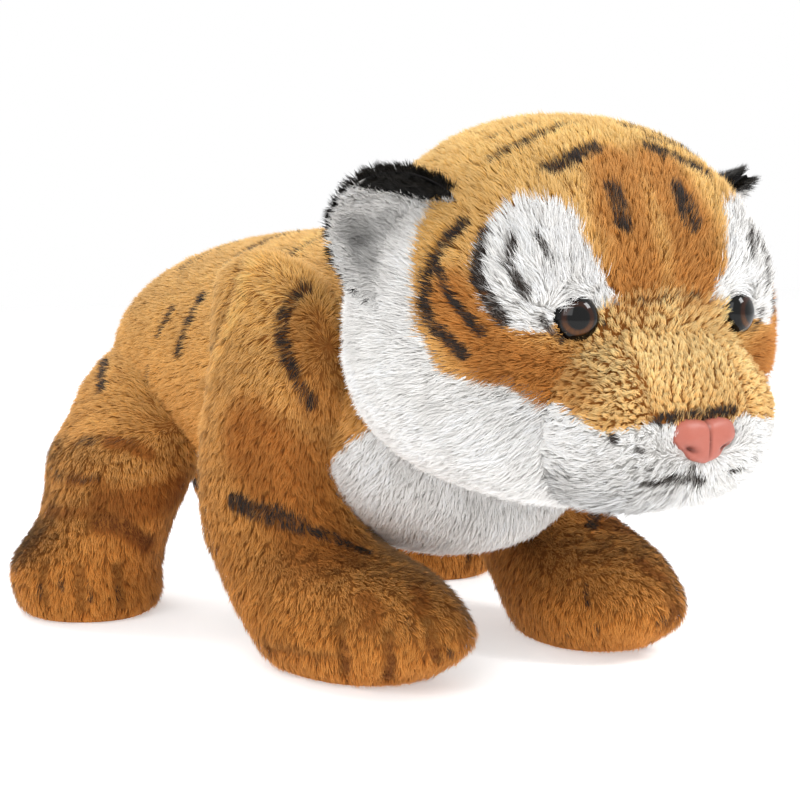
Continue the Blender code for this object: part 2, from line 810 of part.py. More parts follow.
def make_head(toy, tools, neck_room):
    grid = head_grid()
    rows, sides = grid.shape[:2]
    places = {side: eye_frame(side, grid) for side in (1, -1)}
    rooms = {side: button_room("eye_room_" + word, places[side], EYE_RADIUS, tools)
             for side, word in ((1, "left"), (-1, "right"))}
    crown = cells_between(rows, sides, CROWN_EDGE_DEG, 180 - CROWN_EDGE_DEG)
    throat = cells_between(rows, sides, -180 - THROAT_EDGE_DEG, THROAT_EDGE_DEG)
    patch = cells_between(rows, sides, PATCH_LOW_DEG, CROWN_EDGE_DEG, *PATCH_SHARES)
    behind = cells_between(rows, sides, RUFF_EDGE_DEG, RUFF_TOP_DEG, 0, MASK_EDGE_SHARE)
    cheek = cells_between(rows, sides, RUFF_EDGE_DEG, CROWN_EDGE_DEG) & ~patch & ~behind
    ruff = cells_between(rows, sides, THROAT_EDGE_DEG, RUFF_EDGE_DEG) | behind
    panels = {
        "head_crown": (crown, "tan_plush", (1, -1)),
        "head_throat": (throat, "white_plush", ()),
    }
    for side, word in ((1, "left"), (-1, "right")):
        own_patch, own_cheek, own_ruff = (
            used if side > 0 else mirrored(used) for used in (patch, cheek, ruff)
        )
        panels["eye_patch_" + word] = (own_patch, "white_plush", (side,))
        panels["head_cheek_" + word] = (own_cheek, "tan_plush", (side,))
        panels["head_ruff_" + word] = (own_ruff, "white_plush", ())
    made = []
    for name, (used, look, eyes) in panels.items():
        ob = skin_panel(name, grid, used, look, toy)
        cut(ob, neck_room, *(rooms[side] for side in eyes))
        made.append(ob)
    core = solid_form("head_stuffing", grid, -FABRIC - STUFFING_GAP, "stuffing", toy)
    cut(core, neck_room, rooms[1], rooms[-1])
    made.append(core)
    for side, word in ((1, "left"), (-1, "right")):
        made += make_eye("eye_" + word, places[side], toy)
    return made


def make_muzzle(toy, tools, head_grown):
    grid = muzzle_grid()
    rows, sides = grid.shape[:2]
    bridge_cells = cells_between(rows, sides, BRIDGE_EDGE_DEG, 180 - BRIDGE_EDGE_DEG)
    side_cells = cells_between(rows, sides, LIP_EDGE_DEG, BRIDGE_EDGE_DEG)
    lip_cells = cells_between(rows, sides, -90, LIP_EDGE_DEG)
    panels = {
        "muzzle_bridge": (bridge_cells, "tan_plush"),
        "muzzle_side_left": (side_cells, "tan_plush"),
        "muzzle_side_right": (mirrored(side_cells), "tan_plush"),
        "lip_left": (lip_cells, "white_plush"),
        "lip_right": (mirrored(lip_cells), "white_plush"),
    }
    grown = solid_form("muzzle_grown", grid, FIT, None, tools)
    nose_parts, room = make_nose(toy, tools, grid, grown)
    made = []
    for name, (used, look) in panels.items():
        ob = skin_panel(name, grid, used, look, toy)
        cut(ob, head_grown, room)
        made.append(ob)
    core = solid_form("muzzle_stuffing", grid, -FABRIC - STUFFING_GAP, "stuffing", toy)
    cut(core, head_grown, room)
    made.append(core)
    return made + nose_parts


def ear_frame(side):
    grid = head_grid()
    angle = EAR_ANGLE_DEG if side > 0 else 180 - EAR_ANGLE_DEG
    point, normal = surface_at(grid, EAR_ALONG_SHARE, angle)
    facing = Vector((side * EAR_FACING_SHARES[0], EAR_FACING_SHARES[1], EAR_FACING_SHARES[2]))
    return frame_on(point + EAR_STAND_OUT * normal, facing)


def ear_sheet(name, side, behind, look, toy):
    """A shallow round cup that opens forwards, its upper rim bent over. The cup is a sheet of rings."""
    bm = bmesh.new()
    centre = bm.verts.new((0, 0, -EAR_CUP_DEPTH))
    rings = []
    for k in range(1, EAR_RINGS + 1):
        r = k / EAR_RINGS
        ring = []
        for angle in sides_of(EAR_SIDES):
            x, y = r * math.cos(angle), r * math.sin(angle)
            bend = EAR_CURL * max(0.0, y) ** 2 * r
            z = -EAR_CUP_DEPTH * (1 - r * r) + bend
            ring.append(bm.verts.new((x * EAR_RADIUS, y * EAR_RADIUS, z)))
        rings.append(ring)
    for k in range(EAR_SIDES):
        n = (k + 1) % EAR_SIDES
        bm.faces.new((centre, rings[0][k], rings[0][n]))
        for a, b in zip(rings, rings[1:]):
            bm.faces.new((a[k], b[k], b[n], a[n]))
    bm.normal_update()
    for v in bm.verts:
        v.co -= v.normal * v.calc_shell_factor() * behind
    ob = link_mesh(name, bm, look, toy)
    add_wall(ob)
    ob.matrix_world = ear_frame(side)
    return ob


def ear_fold(side):
    """A point on an ear's fold line and the line's way, upwards and inwards."""
    frame = ear_frame(side)
    lean = math.radians(EAR_BASE_LEAN_DEG)
    inward = Vector((-side * math.cos(lean), -math.sin(lean), 0))
    along = Vector((-side * math.sin(lean), math.cos(lean), 0))
    return frame @ (inward * EAR_RADIUS * EAR_BASE_SHARE), (frame.to_3x3() @ along).normalized()


def make_ears(toy, tools, head_grown):
    made = {}
    for side, word in ((1, "left"), (-1, "right")):
        front = ear_sheet("ear_front_" + word, side, 0, "white_plush", toy)
        back = ear_sheet("ear_back_" + word, side, FABRIC + 2 * FIT, "black_plush", toy)
        place, axis = ear_fold(side)
        label = f"ear_{word}_room"
        cutters = cleared(head_grown, label, place, axis, (-EAR_FOLD_DEG, EAR_FOLD_DEG), tools)
        cut(front, *cutters)
        cut(back, *cutters)
        made[word] = [front, back]
    return made


def make_leg(word, side, front, toy, tools, flank_room):
    if front:
        table, top, paw_y = FRONT_LEG_SECTION_SHARES, SHOULDER_TOP_Z, FRONT_PAW_Y
        stance, toe_out = FRONT_STANCE, math.radians(FRONT_TOE_OUT_DEG)
        width, length = FRONT_LEG_WIDTH, FRONT_LEG_LENGTH
    else:
        table, top, paw_y = HIND_LEG_SECTION_SHARES, HIP_TOP_Z, HIND_PAW_Y
        stance, toe_out = HIND_STANCE, math.radians(HIND_TOE_OUT_DEG)
        width, length = HIND_LEG_WIDTH, HIND_LEG_LENGTH
    name = ("front" if front else "hind") + "_leg_" + word
    grid = leg_grid(side, table, top, leg_root(front), (stance / 2, paw_y), toe_out, width, length)
    skin = skin_panel(name + "_skin", grid, None, "tan_plush", toy, last_cap=True)
    core = solid_form(name + "_stuffing", grid, -FABRIC - STUFFING_GAP, "stuffing", toy)
    place = Vector((side, 1, 1)) * leg_axis(front)
    cutters = cleared(flank_room, name + "_room", place, "X", (-LEG_SWING_DEG, LEG_SWING_DEG), tools)
    cut(skin, *cutters)
    cut(core, *cutters)
    bm = bmesh.new()
    ring = [bm.verts.new((x, y, 0)) for x, y, _ in grid[0]]
    face = bm.faces.new(ring)
    bm.normal_update()
    if face.normal.z < 0:
        face.normal_flip()
    lifted = bmesh.ops.extrude_face_region(bm, geom=[face])
    raised = [g for g in lifted["geom"] if isinstance(g, bmesh.types.BMVert)]
    bmesh.ops.translate(bm, vec=(0, 0, FABRIC), verts=raised)
    bmesh.ops.recalc_face_normals(bm, faces=bm.faces)
    sole = link_mesh(name + "_sole", bm, "tan_plush", toy)
    return [skin, core, sole]


def tail_points(shares):
    """Middle line of the tail and its radius, at shares of the way along."""
    row = spline(TAIL_PATH_SHARES, np.asarray(shares) * (len(TAIL_PATH_SHARES) - 1))
    root_y = TORSO_FRONT_Y + TORSO_LENGTH
    x = row[:, 0] * TAIL_SIDE
    y = root_y + row[:, 1] * TAIL_BACK
    z = TAIL_ROOT_Z - row[:, 2] * TAIL_DROP
    return np.stack([x, y, z], -1), row[:, 3] * TAIL_RADIUS


def tail_way(shares):
    """Unit way of the tail's middle line, towards the tip."""
    ahead, _ = tail_points(np.clip(np.asarray(shares) + TAIL_STEP_SHARE, 0, 1))
    behind, _ = tail_points(np.clip(np.asarray(shares) - TAIL_STEP_SHARE, 0, 1))
    way = ahead - behind
    return way / np.linalg.norm(way, axis=1, keepdims=True)


def rings_round(middle, way, radius):
    """Round rings square to a line."""
    across = np.cross(way, TAIL_ROLL_SHARES)
    across /= np.linalg.norm(across, axis=1, keepdims=True)
    other = np.cross(way, across)
    angle = sides_of(TAIL_SIDES)[None, :, None]
    round_it = np.cos(angle) * across[:, None] + np.sin(angle) * other[:, None]
    return middle[:, None] + radius[:, None, None] * round_it


def tail_grid(first, last, rings):
    shares = np.linspace(first, last, rings)
    middle, radius = tail_points(shares)
    return rings_round(middle, tail_way(shares), radius)


def tail_dome():
    """Rings of the round upper end of the tail's lower half, about its joint."""
    middle, radius = tail_points([TAIL_JOINT_SHARE])
    way = tail_way([TAIL_JOINT_SHARE])
    rise = np.linspace(0, math.pi / 2, TAIL_DOME_RINGS + 2)[1:-1][::-1]
    centres = middle - way * radius * np.sin(rise)[:, None]
    return rings_round(centres, np.repeat(way, len(rise), 0), radius * np.cos(rise))


def make_tail(toy, tools, torso_grown):
    """The upper half is hollowed at its lower end for the round end of the lower half."""
    joint, radius = tail_points([TAIL_JOINT_SHARE])
    upper = tail_grid(0.0, TAIL_JOINT_SHARE, TAIL_BASE_RINGS)
    lower = np.concatenate([tail_dome(), tail_grid(TAIL_JOINT_SHARE, TAIL_TIP_SHARE, TAIL_END_RINGS)])
    tip = tail_grid(TAIL_TIP_SHARE, 1.0, TAIL_TIP_RINGS)
    whole = np.concatenate([lower, tip[1:]])
    base = [
        skin_panel("tail_base_skin", upper, None, "tan_plush", toy),
        solid_form("tail_base_stuffing", upper, -FABRIC - STUFFING_GAP, "stuffing", toy),
    ]
    way = Vector(tail_way([TAIL_JOINT_SHARE])[0])
    frame = frame_on(Vector(joint[0]), way, up=Vector((1, 0, 0)))
    reach = float(radius[0]) / math.cos(math.pi / TURNED_STEPS) + FIT
    arc = neck_arc(reach, np.linspace(0, math.pi, TAIL_SEAT_RINGS))
    seat = turn("tail_seat", arc, None, tools)
    seat.matrix_world = frame
    rise = -float(radius[0]) * math.sin(math.radians(TAIL_SWING_DEG)) - FIT
    end_cut = half_space("tail_room", frame, rise, True, tools)
    root_point = Vector((0, TORSO_FRONT_Y + TORSO_LENGTH, TAIL_ROOT_Z))
    bends = (TAIL_DROP_DEG, -TAIL_LIFT_DEG)
    cutters = cleared(torso_grown, "tail_base_room", root_point, "X", bends, tools)
    for ob in base:
        cut(ob, *cutters, end_cut, seat)
    end = [
        skin_panel("tail_end_skin", lower, None, "tan_plush", toy, first_cap=True),
        skin_panel("tail_tip", tip, None, "black_plush", toy, last_cap=True),
        solid_form("tail_end_stuffing", whole, -FABRIC - STUFFING_GAP, "stuffing", toy),
    ]
    return base, end


def build():
    clear_scene()
    toy = new_collection(TOY_NAME)
    tools = new_collection(TOY_NAME + "_cutters")
    guides = new_collection(TOY_NAME + "_axes")
    frame = neck_frame()
    ball = neck_seat(frame, tools)
    torso_front = half_space("neck_room_front", frame, -NECK_SLOT / 2, True, tools)
    head_rear = half_space("neck_room_rear", frame, NECK_SLOT / 2, False, tools)
    for block in (torso_front, head_rear):
        join(block, ball)

    torso_grown = solid_form("torso_grown", torso_grid(), FIT, None, tools)
    flank_room = solid_form("flank_room", torso_grid(), FIT + SWING_SLACK, None, tools)
    root = empty_at("torso", (0, 0, 0), guides)
    neck_axis = empty_at("neck_axis", neck_centre(), guides, root)
    head_axis = empty_at("head_axis", neck_centre(), guides, neck_axis)

    for ob in make_torso(toy, torso_front):
        hang(ob, root)
    for ob in make_neck(toy, frame):
        hang(ob, neck_axis)
    head_grown = solid_form("head_grown", head_grid(), FIT, None, tools)
    for ob in make_head(toy, tools, head_rear):
        hang(ob, head_axis)
    for ob in make_muzzle(toy, tools, head_grown):
        hang(ob, head_axis)
    for word, parts in make_ears(toy, tools, head_grown).items():
        side = 1 if word == "left" else -1
        place, _ = ear_fold(side)
        axis = empty_at("ear_axis_" + word, place, guides, head_axis)
        for ob in parts:
            hang(ob, axis)
    for word, side in (("left", 1), ("right", -1)):
        for front in (True, False):
            place = leg_axis(front)
            name = ("front" if front else "hind") + "_leg_axis_" + word
            axis = empty_at(name, (side * place.x, place.y, place.z), guides, root)
            for ob in make_leg(word, side, front, toy, tools, flank_room):
                hang(ob, axis)
    base, end = make_tail(toy, tools, torso_grown)
    root_point = Vector((0, TORSO_FRONT_Y + TORSO_LENGTH, TAIL_ROOT_Z))
    lift_axis = empty_at("tail_axis", root_point, guides, root)
    middle, _ = tail_points([TAIL_JOINT_SHARE])
    swing_axis = empty_at("tail_end_axis", Vector(middle[0]), guides, lift_axis)
    for ob in base:
        hang(ob, lift_axis)
    for ob in end:
        hang(ob, swing_axis)


build()
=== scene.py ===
# %% [markdown]
# # A plush tiger cub
# The toy is sewn from panels of pile fabric over loose stuffing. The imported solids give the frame:
# bodies, joints, and the place of every panel. Here each panel becomes a curved sheet of backing
# cloth, and thousands of narrow blades stand on it as its pile. Hair particles would be quicker to
# set up, but they don't leave Blender as a mesh, so the blades are worked out with numpy instead.

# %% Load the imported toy
import json
import math
from collections import namedtuple

import bpy
import numpy as np
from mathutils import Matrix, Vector
from mathutils.bvhtree import BVHTree


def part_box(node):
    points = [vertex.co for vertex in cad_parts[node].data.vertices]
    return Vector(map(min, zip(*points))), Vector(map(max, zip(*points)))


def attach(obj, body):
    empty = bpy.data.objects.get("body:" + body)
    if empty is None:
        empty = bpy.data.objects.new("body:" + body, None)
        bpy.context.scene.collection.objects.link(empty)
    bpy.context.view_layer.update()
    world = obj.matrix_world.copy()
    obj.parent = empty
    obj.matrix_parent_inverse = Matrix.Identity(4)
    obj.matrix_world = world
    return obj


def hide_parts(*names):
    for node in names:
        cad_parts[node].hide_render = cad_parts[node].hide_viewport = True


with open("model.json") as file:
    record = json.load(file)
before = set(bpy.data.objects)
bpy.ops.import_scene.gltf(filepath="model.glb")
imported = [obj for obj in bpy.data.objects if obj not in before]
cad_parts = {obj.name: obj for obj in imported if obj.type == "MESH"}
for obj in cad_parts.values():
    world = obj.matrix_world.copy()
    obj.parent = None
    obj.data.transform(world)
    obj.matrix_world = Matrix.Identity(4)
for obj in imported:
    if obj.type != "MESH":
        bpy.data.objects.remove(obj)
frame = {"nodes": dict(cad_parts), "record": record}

# a new Blender file starts with three objects that aren't wanted here
for name in ("Cube", "Light", "Camera"):
    if name in bpy.data.objects:
        bpy.data.objects.remove(bpy.data.objects[name])


def new_object(name, data):
    ob = bpy.data.objects.new(name, data)
    bpy.context.scene.collection.objects.link(ob)
    return ob


def modify(ob, name, kind, **settings):
    modifier = ob.modifiers.new(name, kind)
    for label, value in settings.items():
        setattr(modifier, label, value)


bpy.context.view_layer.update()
SIDES = ((1, "left"), (-1, "right"))

# %% [markdown]
# ## Camera
# The camera stands where the photographer's did, low and to the toy's right. Its place follows from
# the point it looks at, the way it looks and its distance. The focal length is kept in pixels of a
# square picture, because that is how it was found, and is turned into millimetres here.

# %% Set up the camera
PICTURE_SIDE = 800
FOCAL_PIXELS = 2070.0
SENSOR_MM = 36.0
LOOKS_AT = Vector((0, -0.005, 0.114))
LOOK_WAY = Vector((0.5421, 0.8348, -0.0958)).normalized()
CAMERA_DISTANCE = 1.0

data = bpy.data.cameras.new("camera")
data.sensor_width = SENSOR_MM
data.lens = FOCAL_PIXELS / PICTURE_SIDE * SENSOR_MM
camera = new_object("camera", data)
camera.location = LOOKS_AT - LOOK_WAY * CAMERA_DISTANCE
camera.rotation_euler = LOOK_WAY.to_track_quat("-Z", "Y").to_euler()
bpy.context.scene.camera = camera
bpy.context.scene.view_settings.view_transform = "Standard"
print("camera at", [round(v, 3) for v in camera.location])

# %% [markdown]
# ## Studio
# A pale floor and three big soft lamps, as in a small product studio. The world is a plain level of
# light. Seen straight on, or in gloss and glass, it is white, so the lamps needn't be strong.

# %% Set up the lamps, the world and the floor
WORLD_LEVEL = 0.50
FLOOR_SIDE = 6.0
FLOOR_COLOUR, FLOOR_ROUGHNESS = (0.93, 0.93, 0.93, 1), 0.9
FLOOR_GLOW = 0.5          # lifts the floor to the white of the background
# place, side length in metres, power in watts
LAMPS = {
    "key": ((0.75, -1.0, 1.15), 0.5, 15.0),
    "fill": ((-1.1, -0.9, 1.0), 1.1, 12.0),
    "back": ((-0.3, 1.2, 1.3), 1.0, 13.0),
}


def feed(tree, node, values):
    """Each named input takes a value, or a link from another node's output."""
    for label, value in values.items():
        if isinstance(value, bpy.types.NodeSocket):
            tree.links.new(value, node.inputs[label])
        else:
            node.inputs[label].default_value = value


def add_node(tree, kind, values=None, **settings):
    node = tree.nodes.new("ShaderNode" + kind)
    for label, value in settings.items():
        setattr(node, label, value)
    feed(tree, node, values or {})
    return node


def combine(tree, operation, *values):
    """The result of a Math node on these values."""
    return add_node(tree, "Math", dict(enumerate(values)), operation=operation).outputs[0]


def new_material(name, values):
    look = bpy.data.materials.new(name)
    look.use_nodes = True
    shader = look.node_tree.nodes["Principled BSDF"]
    feed(look.node_tree, shader, values)
    return look, look.node_tree, shader


def make_world():
    world = bpy.data.worlds.new("studio")
    bpy.context.scene.world = world
    world.use_nodes = True
    tree = world.node_tree
    path = add_node(tree, "LightPath").outputs
    seen = path["Is Camera Ray"]
    for name in ("Is Glossy Ray", "Is Transmission Ray"):
        seen = combine(tree, "MAXIMUM", seen, path[name])
    level = add_node(tree, "MapRange", {"Value": seen, "To Min": WORLD_LEVEL, "To Max": 1.0})
    white = {"Color": (1, 1, 1, 1), "Strength": level.outputs["Result"]}
    feed(tree, tree.nodes["Background"], white)


def make_floor():
    mesh = bpy.data.meshes.new("floor")
    half = FLOOR_SIDE / 2
    corners = [(-half, -half, 0), (half, -half, 0), (half, half, 0), (-half, half, 0)]
    mesh.from_pydata(corners, [], [(0, 1, 2, 3)])
    finish = {"Base Color": FLOOR_COLOUR, "Roughness": FLOOR_ROUGHNESS,
              "Emission Color": FLOOR_COLOUR, "Emission Strength": FLOOR_GLOW}
    mesh.materials.append(new_material("floor", finish)[0])
    new_object("floor", mesh)


for name, (place, side, power) in LAMPS.items():
    data = bpy.data.lights.new(name, "AREA")
    data.size, data.energy = side, power
    lamp = new_object(name, data)
    lamp.location = place
    lamp.rotation_euler = (LOOKS_AT - Vector(place)).to_track_quat("-Z", "Y").to_euler()
make_world()
make_floor()
print(len(LAMPS), "lamps")

# %% [markdown]
# ## Reading a table of sections
# A stuffed form is described by a few rows: how far along, how wide, how low and how high. A smooth
# curve through the rows gives as many rings as the surface needs. The solids have few rings, so each
# table is first read at those, and the fine surface then goes through the solid's own rings.


# %% Smooth curves through a table, and rounded rings
TINY = 1e-12


def smooth_rows(table, places):
    """Cubic curve through the rows: each span uses its two rows and the slopes at them."""
    rows = np.array(table, float)
    places = np.asarray(places, float)
    before = np.clip(np.floor(places).astype(int), 0, len(rows) - 2)
    part = (places - before)[..., None]
    slope = np.gradient(rows, axis=0)
    a, b, da, db = rows[before], rows[before + 1], slope[before], slope[before + 1]
    start = a * (2 * part**3 - 3 * part**2 + 1) + da * (part**3 - 2 * part**2 + part)
    return start + b * (3 * part**2 - 2 * part**3) + db * (part**3 - part**2)


def rounded(angle, power):
    """Cosine and sine raised to 2 / power, sign kept: a circle at power 2, squarer above it."""
    c, s = np.cos(angle), np.sin(angle)
    return np.sign(c) * np.abs(c) ** (2 / power), np.sign(s) * np.abs(s) ** (2 / power)


def unit(vectors):
    length = np.linalg.norm(vectors, axis=-1, keepdims=True)
    return vectors / np.maximum(length, TINY)


def columns_of(x, y, z):
    """Points from their x, y and z, each an array or one number."""
    return np.stack(np.broadcast_arrays(x, y, z), -1)


def soft_step(value, low, high):
    """0 below low, 1 above high, and a smooth cubic between them."""
    t = np.clip((value - low) / (high - low), 0, 1)
    return t * t * (3 - 2 * t)


# %% [markdown]
# ## Stuffed forms
# Every form is a grid of points that closes round its columns. With the grid come its outward
# normals, and a test that says how deep a point lies inside it. The test keeps pile from growing
# inside a neighbour, for example where a leg goes into the flank.


# %% A stuffed form as a grid
class Form:
    """A surface on a grid: rows along it, columns round it, the last column equal to the first."""

    def __init__(self, points, depth=None):
        self.points, self.depth = points, depth
        along = np.gradient(points, axis=0)
        ring = points[:, :-1]
        around = np.roll(ring, -1, axis=1) - np.roll(ring, 1, axis=1)
        around = np.concatenate([around, around[:, :1]], axis=1)
        normal = np.cross(along, around)
        weak = np.linalg.norm(normal, axis=-1).max(axis=1) < TINY
        normal = unit(normal)
        outward = points - points.mean(axis=1, keepdims=True)
        if (normal * outward).sum() < 0:
            normal = -normal
        for row in np.flatnonzero(weak):
            beside = normal[row - 1] if row else normal[row + 1]
            normal[row] = unit(beside.mean(axis=0))
        self.normals = normal


def with_end(points, first=False, last=False, steps=4):
    """Closes an end flat: rings that shrink in even steps to the middle of the end ring."""
    share = np.linspace(1, 0, steps + 1)[1:, None, None]

    def lid(ring):
        middle = ring[:-1].mean(axis=0)
        return middle + (ring - middle) * share

    start = [lid(points[0])[::-1]] if first else []
    end = [lid(points[-1])] if last else []
    return np.concatenate([*start, points, *end])


def four_corners(grid):
    """The four corners of every cell, in order round it."""
    return grid[:-1, :-1], grid[1:, :-1], grid[1:, 1:], grid[:-1, 1:]


# %% Torso, head and muzzle follow the length of the toy
def barrel(table, rings, power, start, length, width, bottom, top, rows, columns, first=False):
    """Rings across Y. x = half width * rounded cosine, z = middle + half height * rounded sine."""
    table = smooth_rows(table, np.linspace(0, len(table) - 1, rings))
    size = np.array([1, width / 2, top - bottom, top - bottom, top - bottom])
    base = np.array([0, 0, bottom, bottom, bottom])

    def sections(places):
        return smooth_rows(table, places) * size + base

    row = sections(np.linspace(0, len(table) - 1, rows + 1))[:, None, :]
    c, s = rounded(np.linspace(0, 2 * math.pi, columns + 1), power)
    low, high, middle = row[..., 2], row[..., 3], row[..., 4]
    x = row[..., 1] * c
    z = middle + np.where(s > 0, (high - middle) * s, (middle - low) * s)
    points = columns_of(x, start + row[..., 0] * length, z)

    def depth(p):
        """Below 0 inside: |x / half width| ^ power + |height / span| ^ power - 1."""
        share = (p[..., 1] - start) / length
        place = np.interp(share, table[:, 0], np.arange(len(table)))
        r = sections(place)
        rise = p[..., 2] - r[..., 4]
        span = np.where(rise > 0, r[..., 3] - r[..., 4], r[..., 4] - r[..., 2])
        value = np.abs(p[..., 0] / r[..., 1]) ** power + np.abs(rise / span) ** power - 1
        return np.where((share < 0) | (share > 1), 1.0, value)

    return Form(with_end(points, first=first, last=True), depth)


TORSO_FRONT, TORSO_LENGTH, TORSO_WIDTH = -0.104, 0.289, 0.160
BELLY_Z, BACK_Z = 0.050, 0.193
# along, half width, bottom, top and widest height, from the chest to the rump
TORSO_SECTIONS = [
    (0.000, 0.30, 0.28, 0.64, 0.46),
    (0.045, 0.62, 0.08, 0.82, 0.46),
    (0.153, 0.84, 0.00, 0.95, 0.47),
    (0.326, 0.93, 0.00, 0.99, 0.48),
    (0.500, 0.96, 0.05, 1.00, 0.49),
    (0.674, 0.99, 0.13, 0.98, 0.50),
    (0.812, 1.00, 0.18, 0.94, 0.51),
    (0.910, 0.88, 0.25, 0.86, 0.53),
    (0.972, 0.58, 0.36, 0.75, 0.55),
    (1.000, 0.17, 0.50, 0.66, 0.58),
]
HEAD_REAR, HEAD_LENGTH, HEAD_WIDTH = -0.075, 0.125, 0.174
HEAD_LOW, HEAD_TOP = 0.086, 0.243
# from the nape to the face
HEAD_SECTIONS = [
    (0.000, 0.80, 0.12, 0.84, 0.40),
    (0.160, 0.94, 0.04, 0.95, 0.40),
    (0.360, 1.00, 0.01, 1.00, 0.40),
    (0.580, 1.00, 0.00, 0.99, 0.40),
    (0.760, 0.94, 0.01, 0.93, 0.41),
    (0.900, 0.77, 0.06, 0.80, 0.42),
    (0.975, 0.47, 0.17, 0.66, 0.43),
    (1.000, 0.16, 0.36, 0.50, 0.43),
]
MUZZLE_START, MUZZLE_LENGTH, MUZZLE_WIDTH = -0.160, 0.064, 0.106
MUZZLE_LOW, MUZZLE_TOP = 0.087, 0.166
MUZZLE_SECTIONS = [
    (0.000, 0.92, 0.02, 1.00, 0.48),
    (0.350, 1.00, 0.00, 0.98, 0.48),
    (0.650, 0.97, 0.03, 0.87, 0.45),
    (0.860, 0.83, 0.11, 0.70, 0.42),
    (0.970, 0.54, 0.23, 0.53, 0.38),
    (1.000, 0.24, 0.31, 0.45, 0.38),
]

forms = {
    "torso": barrel(TORSO_SECTIONS, 11, 2.2, TORSO_FRONT, TORSO_LENGTH, TORSO_WIDTH,
                    BELLY_Z, BACK_Z, 60, 80),
    "head": barrel(HEAD_SECTIONS, 9, 2.3, HEAD_REAR, -HEAD_LENGTH, HEAD_WIDTH,
                   HEAD_LOW, HEAD_TOP, 64, 96, first=True),
    "muzzle": barrel(MUZZLE_SECTIONS, 7, 2.4, MUZZLE_START, -MUZZLE_LENGTH, MUZZLE_WIDTH,
                     MUZZLE_LOW, MUZZLE_TOP, 48, 64),
}
print({name: form.points.shape for name, form in forms.items()})

# %% [markdown]
# ## Legs
# A leg is a stack of level rings from the sole up. The middle of each ring goes from the paw to the
# shoulder or hip, so the leg leans, and the paw's rings turn with the toes.

# %% Legs from the sole up
FOOT_Z = 0.0023
LEG_POWER = 2.2
LEG_RINGS = 10
# stance, root x, root y, paw y, top, width, length, toe out in degrees
FRONT_LEG = (0.132, 0.072, -0.027, -0.077, 0.184, 0.058, 0.132, -10.0)
HIND_LEG = (0.204, 0.0688, 0.138, 0.134, 0.140, 0.060, 0.096, 28.0)
# height, outward lean, way from shoulder to paw, extra way back, half width, half length
FRONT_LEG_SECTIONS = [
    (0.000, 1.00, 1.00, 0.12, 0.74, 0.50),
    (0.045, 1.00, 1.00, 0.08, 0.98, 0.75),
    (0.140, 1.00, 1.00, 0.08, 1.17, 0.98),
    (0.255, 0.60, 0.70, 0.18, 1.03, 0.93),
    (0.365, 0.20, 0.20, 0.24, 1.00, 0.58),
    (0.620, 0.00, 0.00, 0.05, 1.00, 0.67),
    (0.810, 0.00, 0.00, 0.08, 0.86, 0.58),
    (0.940, -0.45, 0.00, 0.13, 0.60, 0.44),
    (1.000, -0.85, 0.00, 0.14, 0.20, 0.16),
]
HIND_LEG_SECTIONS = [
    (0.000, 1.00, 1.00, -0.02, 0.97, 0.75),
    (0.050, 1.00, 1.00, -0.01, 1.14, 0.90),
    (0.165, 1.00, 1.00, 0.00, 1.18, 0.98),
    (0.305, 0.80, 0.60, -0.07, 1.02, 1.00),
    (0.430, 0.64, 0.30, -0.10, 0.98, 1.08),
    (0.550, 0.50, 0.10, -0.12, 1.03, 1.04),
    (0.690, 0.22, 0.00, -0.12, 0.95, 0.93),
    (0.820, 0.00, 0.00, -0.05, 0.85, 0.73),
    (0.930, -0.22, 0.00, -0.01, 0.58, 0.48),
    (1.000, -0.36, 0.00, 0.00, 0.18, 0.16),
]


def leg(side, table, sizes, rows=60, columns=56):
    """Level rings. Middle = root + lean * (paw - root). Their axes are turned by the toe-out."""
    table = smooth_rows(table, np.linspace(0, len(table) - 1, LEG_RINGS))
    stance, root_x, root_y, paw_y, top, width, length, toe_out = sizes

    def middle_of(row):
        x = root_x + row[..., 1] * (stance / 2 - root_x)
        y = root_y + row[..., 2] * (paw_y - root_y) + row[..., 3] * length
        return side * x, y, -side * math.radians(toe_out) * np.clip(row[..., 2], 0, 1)

    row = smooth_rows(table, np.linspace(0, len(table) - 1, rows + 1))[:, None, :]
    x, y, turned = middle_of(row)
    c, s = rounded(np.linspace(0, 2 * math.pi, columns + 1), LEG_POWER)
    across, along = row[..., 4] * width / 2 * c, row[..., 5] * length / 2 * s
    px = x + across * np.cos(turned) + along * np.sin(turned)
    py = y - across * np.sin(turned) + along * np.cos(turned)
    points = columns_of(px, py, FOOT_Z + row[..., 0] * (top - FOOT_Z))

    def depth(p):
        share = (p[..., 2] - FOOT_Z) / (top - FOOT_Z)
        r = smooth_rows(table, np.interp(share, table[:, 0], np.arange(len(table))))
        mx, my, turn = middle_of(r)
        dx, dy = p[..., 0] - mx, p[..., 1] - my
        a = dx * np.cos(turn) - dy * np.sin(turn)
        b = dx * np.sin(turn) + dy * np.cos(turn)
        value = np.abs(a / (r[..., 4] * width / 2)) ** LEG_POWER
        value += np.abs(b / (r[..., 5] * length / 2)) ** LEG_POWER - 1
        return np.where((share < 0) | (share > 1), 1.0, value)

    return Form(with_end(points, last=True), depth)


for side, word in SIDES:
    forms["front_leg_" + word] = leg(side, FRONT_LEG_SECTIONS, FRONT_LEG)
    forms["hind_leg_" + word] = leg(side, HIND_LEG_SECTIONS, HIND_LEG)
print(len(forms), "forms")

# %% [markdown]
# ## Neck, tail and ears
# The neck is a ball between chest and head, of which only a ring shows. The tail is a round tube
# along a curve. An ear is a shallow cup whose upper rim bends forward.

# %% Neck ball
NECK_MIDDLE = np.array([0, -0.083, 0.140])
NECK_RADIUS = 0.054
NECK_TILT = math.radians(75)
NECK_POLE = 0.12          # the rings stop this short of the poles, in radians


